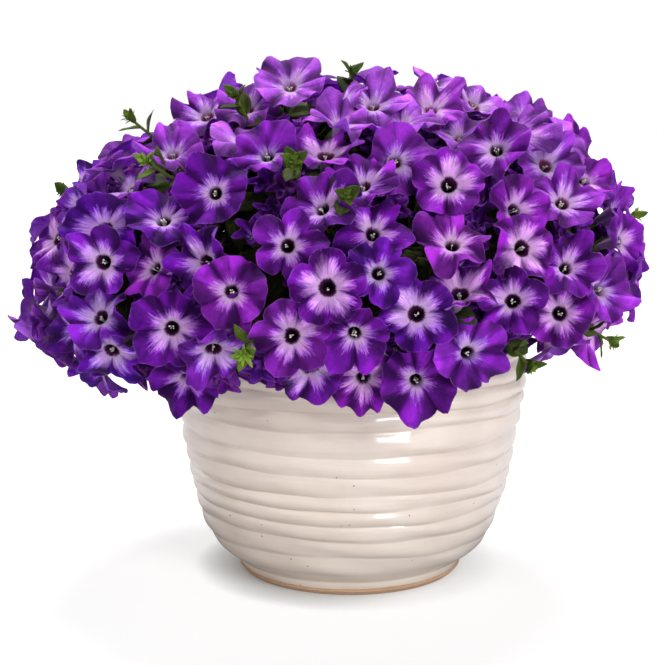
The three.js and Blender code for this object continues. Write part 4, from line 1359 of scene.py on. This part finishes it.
# %% Read the petal's paint
petal_skin, tree, shader = new_material("petal")
place = painted(tree, "place")
rib, behind, glow = parts_of(tree, painted(tree, "petal"))
seed, reach, hue = parts_of(tree, painted(tree, "tone"))
fold, lobe, _ = parts_of(tree, painted(tree, "fold"))
share = parts_of(tree, place)[2]
coordinates = place_on(tree, "place on the plant")
patch = use_group(tree, blotches, Place=coordinates, Scale=60.0, Seed=5.0)["Blotch"]
fine_patch = use_group(tree, blotches, Place=coordinates, Scale=240.0, Seed=8.0)["Blotch"]
star = use_group(tree, star_group, Place=place, Rib=rib, Reach=reach, Seed=seed)
vein = use_group(tree, veins, Around=place, Count=16.0, Seed=seed)["Vein"]
print("paint and patterns:", len(tree.nodes), "nodes")

# %% The violet ground
indigo, violet, magenta = (0.026, 0.001, 0.18, 1), (0.105, 0.002, 0.30, 1), (0.40, 0.042, 0.57, 1)
# The magenta and the pale lilac laid over by each bloom's light are painted light, mostly on the upper and
# right-hand blooms, with a random share of the bloom's own tone.
ground = layered(
    tree, blend_colours(tree, patch, indigo, violet),
    (times(tree, hue, 0.75), (0.16, 0.002, 0.21, 1)),
    (times(tree, glow, 0.85), magenta),
    (slope(tree, glow, 0.5, 1.0, 0.0, 0.38), (0.50, 0.20, 0.84, 1)),
    (times(tree, fine_patch, 0.25), (0.16, 0.015, 0.42, 1)))
lobe_light = times(tree, slope(tree, lobe, 0.0, 1.0, 0.6, 1.4), slope(tree, patch, 0.0, 1.0, 0.7, 1.2))
ground = lit_by(tree, ground, lobe_light)
print("with the ground:", len(tree.nodes), "nodes")

# %% The star, painted shade in the notch lines, creases and folds, and the veins
lavender = blend_colours(tree, hue, (0.28, 0.08, 0.70, 1), (0.46, 0.10, 0.68, 1))
pale = blend_colours(tree, hue, (0.68, 0.42, 1.0, 1), (0.84, 0.42, 0.96, 1))
pale = blend_colours(tree, slope(tree, share, 0.2, 0.42, 0.45, 0.0), pale, (0.95, 0.78, 0.95, 1))
pale = lit_by(tree, pale, slope(tree, star["Ray"], 0.35, 0.6, 0.8, 1.0))
# Painted shade in the notch lines, where the limb dips into a valley between two lobes.
notch_shade = times(tree, slope(tree, rib, 0.84, 1.0), slope(tree, share, 0.3, 0.8, 0.5, 0.1))
# Painted shade along the outer part of each midrib, where the lobe is creased.
midrib_shade = times(tree, slope(tree, rib, 0.0, 0.12, 0.3, 0.0), slope(tree, share, 0.3, 0.6))
skin = layered(
    tree, ground,
    (times(tree, star["Star"], 0.85), lavender),
    (times(tree, star["Core"], 0.95), pale),
    (times(tree, notch_shade, lobe), (0.08, 0.006, 0.19, 1)))
# Painted shade in the valleys of the folds and painted light on their crests.
skin = layered(
    tree, lit_by(tree, skin, slope(tree, fold, 0.12, 0.88, 0.36, 1.38)),
    (midrib_shade, (0.05, 0.003, 0.15, 1)),
    (times(tree, vein, 0.22), (0.05, 0.003, 0.16, 1)))
print("with the star:", len(tree.nodes), "nodes")

# %% The throat
# Light from behind fills the throats of the upper blooms, so theirs are maroon and not black.
lit = slope(tree, glow, 0.3, 0.75)
ragged = past_middle(tree, star["Ray"], -0.14, share)
ragged = past_middle(tree, reach, -0.25, ragged, middle=0.62)
ragged = reckon(tree, "MULTIPLY_ADD", lit, 0.02, ragged)
throat = blend_colours(tree, lit, (0.060, 0.005, 0.055, 1), (0.30, 0.06, 0.16, 1))
dark = times(tree, slope(tree, share, 0.10, 0.185, 0.9, 0.0), slope(tree, lit, 0.0, 1.0, 1.0, 0.35))
skin = layered(
    tree, skin,
    (slope(tree, ragged, 0.155, 0.212, 1.0, 0.0), throat),
    (dark, (0.004, 0.001, 0.006, 1)))
print("with the throat:", len(tree.nodes), "nodes")

# %% The underside, the painted rim light and the finish
under = blend_colours(tree, vein, (0.54, 0.20, 0.86, 1), (0.34, 0.08, 0.64, 1))
under = blend_colours(tree, slope(tree, share, 0.15, 0.45, 0.7, 0.0), under, (0.66, 0.48, 0.68, 1))
# A lighter lilac in patches on the very edge of each petal is a painted rim light.
skin = layered(
    tree, skin,
    (times(tree, behind, 0.9), under),
    (times(tree, slope(tree, share, 0.96, 1.0, 0.0, 0.4), fine_patch), (0.32, 0.11, 0.56, 1)))
feed_all(tree, shader, Base_Color=skin, Roughness=slope(tree, patch, 0.0, 1.0, 0.62, 0.5),
         Specular_IOR_Level=0.08, Sheen_Weight=0.02, Sheen_Roughness=0.4, Sheen_Tint=(0.75, 0.4, 1.0, 1),
         Subsurface_Weight=0.45, Subsurface_Radius=(1.4, 0.4, 1.8), Subsurface_Scale=0.001)
crinkle = reckon(tree, "MULTIPLY_ADD", noise(tree, coordinates, 420.0, detail=3.0), 0.5,
                 times(tree, star["Ray"], 1.3))
add_bump(tree, shader, reckon(tree, "ADD", crinkle, times(tree, vein, 0.25)), 0.0006)
print("petal nodes:", len(tree.nodes))

# %% [markdown]
# ## The colour of leaf, stalk and anther
# Young leaves are bright yellow-green, and the old ones deep in the mound nearly black-green: partly
# their darker green, partly painted shade. The midrib and the side veins are paler, and the paint
# values give their places. Stalks use the same green with a purple flush.

# %% Mix the greens
green, tree, shader = new_material("leaf")
along, across, is_stalk = parts_of(tree, painted(tree, "leaf"))
young_and_lit = parts_of(tree, painted(tree, "age"))[0]
coordinates = place_on(tree, "place on the plant")
patch = use_group(tree, blotches, Place=coordinates, Scale=120.0, Seed=9.0)["Blotch"]
# The near-black green is partly old leaves' own colour and partly painted shade deep in the mound.
deep = blend_colours(tree, patch, (0.011, 0.010, 0.005, 1), (0.022, 0.027, 0.006, 1))
fresh = blend_colours(tree, patch, (0.20, 0.38, 0.035, 1), (0.33, 0.50, 0.06, 1))
from_rib = reckon(tree, "ABSOLUTE", across)
slanted = reckon(tree, "MULTIPLY_ADD", from_rib, -7.0, times(tree, along, 46.0))
side_veins = slope(tree, reckon(tree, "SINE", slanted), 0.72, 1.0, 0.0, 0.35)
vein = reckon(tree, "MAXIMUM", slope(tree, from_rib, 0.0, 0.14, 0.8, 0.0), side_veins)
vein = times(tree, vein, reckon(tree, "SUBTRACT", 1.0, is_stalk))
leaf_colour = layered(
    tree, blend_colours(tree, young_and_lit, deep, fresh),
    (times(tree, vein, slope(tree, young_and_lit, 0.0, 0.6, 0.06, 0.4)), (0.36, 0.50, 0.16, 1)),
    (times(tree, is_stalk, slope(tree, patch, 0.2, 0.9, 0.0, 0.35)), (0.16, 0.07, 0.10, 1)))
feed_all(tree, shader, Base_Color=leaf_colour, Roughness=slope(tree, patch, 0.0, 1.0, 0.5, 0.62),
         Specular_IOR_Level=0.06, Subsurface_Weight=0.15, Subsurface_Radius=(0.5, 1.0, 0.2),
         Subsurface_Scale=0.0012)
raised = reckon(tree, "ADD", times(tree, vein, -0.6), noise(tree, coordinates, 700.0))
add_bump(tree, shader, raised, 0.0004)
print("leaf nodes:", len(tree.nodes))

# %% Mix the anthers
anther_skin, tree, shader = new_material("anther")
kind = parts_of(tree, painted(tree, "anther"))[0]
grain = noise(tree, place_on(tree, "place on the plant"), 2200.0)
dust = blend_colours(tree, grain, (0.60, 0.57, 0.50, 1), (0.88, 0.85, 0.80, 1))
stigma = blend_colours(tree, grain, (0.34, 0.36, 0.26, 1), (0.50, 0.54, 0.38, 1))
feed_all(tree, shader, Base_Color=blend_colours(tree, slope(tree, kind, 0.6, 1.0), stigma, dust),
         Roughness=0.7)
add_bump(tree, shader, grain, 0.0003)
print("anther nodes:", len(tree.nodes))

# %% [markdown]
# ## Fill the gaps
# In the photograph folded and hidden petals fill most gaps between the open blooms. Half-furled
# blooms stand for them here. The mound is tried spot by spot, and one is set wherever no open bloom
# is near. Five more sit round the end of each spray's stalk, a little below the open ones.

# %% Find the gaps
GAP_TRIALS, WIDE_GAP = 900, 22  # spots tried, and mm from the nearest open bloom
# Pixels of the photograph near the plant's left edge, where two blooms seen edge-on leave a gap.
EDGE_GAPS = [(41, 291), (40, 323), (97, 181), (112, 161), (66, 360)]
FURLED_A_SPRAY = 5
FIRST_FURLED = 300  # half-furled blooms are numbered from here, so that their draws are their own


def fill_gap(turn, lift, share):
    """Sets a half-furled bloom there, on the spray whose middle is nearest."""
    spot = on_mound(turn, lift)
    nearest = min(sprays, key=lambda spray: (on_mound(spray["turn"], spray["lift"]) - spot).length)
    nearest["gaps"].append(on_mound(turn, lift, share))


for i, lift in enumerate(even_lifts(GAP_TRIALS)):
    spot = on_mound(i * GOLDEN_ANGLE, lift)
    if min((bloom["at"] - spot).length for bloom in blooms) > WIDE_GAP:
        fill_gap(i * GOLDEN_ANGLE, lift, 0.89 + 0.06 * draw(i, 269))
for column, row in EDGE_GAPS:
    fill_gap(*direction_of(seen_through(column, row)), 1.02)
print("gaps filled:", sum(len(spray["gaps"]) for spray in sprays))
for i, spray in enumerate(sprays):
    shrink = max(0.3, math.cos(math.radians(spray["lift"])))
    for k in range(FURLED_A_SPRAY):
        n = FIRST_FURLED + FURLED_A_SPRAY * i + k
        around = math.radians(GOLDEN_ANGLE * k + 360 * draw(i, 263))
        turn, lift = spray["turn"] + 13 * math.cos(around) / shrink, spray["lift"] + 9 * math.sin(around)
        spray["gaps"].append(on_mound(turn, lift, 0.86 + 0.06 * draw(n, 264)))
print("half-furled blooms:", sum(len(spray["gaps"]) for spray in sprays))

# %% [markdown]
# ## Build the sprays
# Every spray becomes three pieces that ride together: its petals, its green parts and its anthers.
# They all stand for the spray's one CAD node.

# %% Sprays
STALK_RADIUS = 2.3
LEAVES_A_SPRAY = 14


def add_stalk_leaves(greens, line, i):
    """The large old leaves that wind up a spray's stalk, deep in the mound."""
    for k in range(LEAVES_A_SPRAY):
        at = min(int((0.42 + 0.04 * k) * (len(line) - 1)), len(line) - 2)
        way, side, other = frame_round(line[at + 1] - line[at - 1])
        out = turned(math.radians(GOLDEN_ANGLE * k + 40 * i), side, other)
        add_leaf(greens, line[at], out * 0.85 + way * 0.53, way * 0.85 - out * 0.53,
                 40 + 8 * draw(i, 120 + k), 22, 0.025 * draw(i, 134 + k), i, arch=0.25)


petal_faces = 0
for i, spray in enumerate(sprays):
    petals, greens, anthers = Heap(), Heap(), Heap()
    line = spray["line"]
    add_hose(greens, line, np.linspace(STALK_RADIUS, STALK_RADIUS * 0.7, len(line)), 10, 0.25, i)
    for bloom in spray["blooms"]:
        add_bloom(petals, bloom)
        add_greens(greens, bloom)
        add_anthers(anthers, bloom)
    add_stalk_leaves(greens, line, i)
    for k, at in enumerate(spray["gaps"]):
        n = FIRST_FURLED + 30 * i + k
        aside = np.array([draw(n, 265) - 0.5, draw(n, 266) - 0.5, draw(n, 267) - 0.4])
        way = np.array(outward(at)) + 0.5 * aside
        add_furled(petals, greens, np.array(at), way, line[-1], 7 + 4 * draw(n, 268), n)
    number, node = spray["node"][-2:], spray["node"]
    petals.piece(f"spray_{number}_petals", petal_skin, "petal", node, sharp=58)
    greens.piece(f"spray_{number}_greens", green, "leaf", node)
    anthers.piece(f"spray_{number}_anthers", anther_skin, "petal", node)
    petal_faces += len(petals.faces)
print("petal faces:", petal_faces)

# %% [markdown]
# ## Build the leafy shoots
# A shoot's leaves wind up its stalk by the golden angle, smaller and steeper towards the tip, where
# the youngest crowd into a rosette round the stalk's end. The six largest sit where the CAD model has them.

# %% Shoots
# How young each shoot's leaves are, in the order of the plan; brighter leaves here are partly painted light.
YOUNG_AND_LIT = [0.9, 0.8, 0.48, 0.75, 0.3, 0.2, 0.6, 0.8, 0.7, 0.4, 0.7, 0.35, 0.4, 0.4, 0.25, 0.25]
LEAVES, LARGE_LEAVES, HAIRS = 18, 6, 70
LEAFY_LENGTH = 34  # mm of the stalk, down from its tip
FIRST_SHOOT = 60  # shoots are numbered from here in the paint


def add_shoot_leaf(heap, bends, rise, side, other, i, k):
    """The kth leaf up the ith shoot."""
    is_large = k < LARGE_LEAVES
    share = min(1.0, k / (LARGE_LEAVES - 1))
    late = max(0, (k - LARGE_LEAVES + 1) / (LEAVES - LARGE_LEAVES))
    root = before_end(bends, 1 + LEAFY_LENGTH * (1 - share) ** 1.5 - 5 * late)
    out = turned(math.radians(19 + k * GOLDEN_ANGLE), side, other)
    tilt = math.radians(68 - 42 * share + (0 if is_large else 26) * (1 - late) * 1.3)
    length = 25 * (1 - 0.45 * share) * (1 - 0.5 * late)
    if not is_large:
        length *= (0.6 + 0.3 * draw(i, 140 + k)) * (0.7 + 0.35 * YOUNG_AND_LIT[i])
    width = length * ((0.42 if is_large else 0.3) + (0.18 if YOUNG_AND_LIT[i] < 0.5 else 0))
    young_and_lit = (0.1 + (0.4 if is_large else 0.7) * share + 0.2 * late) * YOUNG_AND_LIT[i]
    add_leaf(heap, root, turned(tilt, rise, out), rise * math.sin(tilt) - out * math.cos(tilt),
             length, width, young_and_lit, FIRST_SHOOT + i, arch=0.1 + 0.12 * draw(i, 160 + k), fold=0.35)


for i, shoot in enumerate(shoots):
    heap = Heap()
    turn, lift = shoot["turn"], shoot["lift"]
    ends = stalk_ends(turn, lift, 13, [fork_point(turn, lift), shoot["tip"]])
    line, bends = through(ends, 30), through(ends, 5)
    add_hose(heap, line, np.linspace(STALK_RADIUS, 1.1, 30), 10, 0.3, FIRST_SHOOT + i)
    rise = before_end(bends, 0) - before_end(bends, 1)
    side = unit(np.cross(rise, (0, 0, 1.0)))
    other = np.cross(rise, side)
    for k in range(LEAVES):
        add_shoot_leaf(heap, bends, rise, side, other, i, k)
    for k in range(HAIRS):
        root = before_end(bends, LEAFY_LENGTH * draw(i, 200 + k))
        out = turned(2 * math.pi * draw(i, 280 + k), side, other)
        add_hair(heap, root + out * 1.1, out, 1.2 + 0.9 * draw(i, 360 + k))
    heap.piece(f"shoot_{i + 1:02d}_leaves", green, "leaf", f"leafy_shoot_{i + 1:02d}")
print("shoots built:", len(shoots))

# %% [markdown]
# ## The floor
# A plain white floor without an edge in sight. In a studio such a floor is lit until it merges with
# the backdrop, all but a soft shadow close to the foot. Lamps that are bright enough for that would
# wash out the plant, so the floor glows a little of its own, and less where the pot stands close.

# %% Lay the floor
FLOOR_REACH = 40  # m
corners = [(-FLOOR_REACH, -FLOOR_REACH, 0), (FLOOR_REACH, -FLOOR_REACH, 0),
           (FLOOR_REACH, FLOOR_REACH, 0), (-FLOOR_REACH, FLOOR_REACH, 0)]
floor_mesh = bpy.data.meshes.new("floor")
floor_mesh.from_pydata(corners, [], [(0, 1, 2, 3)])
floor = put("floor", floor_mesh)
floor_skin, tree, shader = new_material("white floor")
seen = place_node(tree, "ShaderNodeLightPath", "who looks").outputs["Is Camera Ray"]
# Painted contact shadow: the occlusion takes the floor's glow away close to the pot, deeper on its left side.
hidden = place_node(tree, "ShaderNodeAmbientOcclusion", "darker close to the foot", samples=8)
hidden.inputs["Distance"].default_value = 0.03
beside = parts_of(tree, place_on(tree, "place on the floor"))[0]
open_share = reckon(tree, "POWER", hidden.outputs["AO"], slope(tree, beside, -0.07, 0.07, 1.2, 0.3))
feed_all(tree, shader, Base_Color=(0.5, 0.5, 0.5, 1), Roughness=0.9, Specular_IOR_Level=0.1,
         Emission_Color=(1, 1, 1, 1), Emission_Strength=times(tree, seen, times(tree, open_share, 0.66)))
floor_mesh.materials.append(floor_skin)
floor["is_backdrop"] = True
print("floor, m across:", 2 * FLOOR_REACH)

# %% [markdown]
# ## The lamps
# The light of the photograph is soft and comes from the front right: a key lamp there, a warm fill
# low on the left, a strong lamp above and behind that shines through the upper petals, and a weak
# one for the left rim. Sun lamps with a wide angle were chosen, because they light floor and plant
# evenly at any distance. The glaze also shows a small bright window, as short streaks on the ridges,
# which takes an area lamp with a shape.

# %% Hang the lamps
WINDOW = {"turn": 27, "lift": 3, "away": 1.4, "wide": 0.5, "tall": 0.22, "power": 5.0}  # degrees, m and W


def add_lamp(name, azimuth, elevation, strength, angle, colour=(1, 1, 1)):
    """A soft sun. Azimuth 0 is the viewer's side and 90 the right of the view."""
    data = bpy.data.lights.new(name, "SUN")
    data.energy, data.angle, data.color = strength, math.radians(angle), colour
    put(name, data).rotation_euler = facing(azimuth, elevation).to_track_quat("Z", "Y").to_euler()


add_lamp("key", 32, 27, 1.5, 22)
add_lamp("fill", -55, 4, 1.2, 60, (1.0, 0.95, 0.88))
add_lamp("back", 172, 70, 4.0, 30, (1.0, 0.95, 1.0))
add_lamp("left rim", -140, 18, 0.8, 50)
window_data = bpy.data.lights.new("window", "AREA")
window_data.shape, window_data.energy = "RECTANGLE", WINDOW["power"]
window_data.size, window_data.size_y = WINDOW["wide"], WINDOW["tall"]
window = put("window", window_data)
towards = facing(WINDOW["turn"], WINDOW["lift"])
window.location = WINDOW["away"] * towards + Vector((0, 0, 0.05))
window.rotation_euler = towards.to_track_quat("Z", "Y").to_euler()

# %% [markdown]
# ## The surround
# The backdrop is white to the camera, as in the photograph. The light that it gives is weaker and
# a little warm, or it would flatten the folds of the petals. A Light Path node tells the two apart.

# %% Light the surround
world = bpy.data.worlds.new("studio")
bpy.context.scene.world = world
world.use_nodes = True
tree = world.node_tree
tree.nodes.clear()
surround = place_node(tree, "ShaderNodeBackground", "the light of the surround")
feed_all(tree, surround, Color=(1.0, 0.97, 0.94, 1), Strength=0.26)
white = place_node(tree, "ShaderNodeBackground", "what the camera sees")
feed_all(tree, white, Color=(1, 1, 1, 1), Strength=1.0)
path = place_node(tree, "ShaderNodeLightPath", "who looks")
either = place_node(tree, "ShaderNodeMixShader", "one or the other")
tree.links.new(path.outputs["Is Camera Ray"], either.inputs[0])
tree.links.new(surround.outputs[0], either.inputs[1])
tree.links.new(white.outputs[0], either.inputs[2])
tree.links.new(either.outputs[0], place_node(tree, "ShaderNodeOutputWorld", "world").inputs[0])
bpy.context.scene.view_settings.view_transform = "Standard"
print("surround nodes:", len(tree.nodes))

# %% [markdown]
# ## Measure and finish
# The dressed plant must not outgrow its CAD model. The box of what is shown, but for the floor, is measured
# and printed.

# %% Measure the box and finish
low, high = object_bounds()
print("visual box, mm:", [round(v / MM) for v in (*low, *high)])
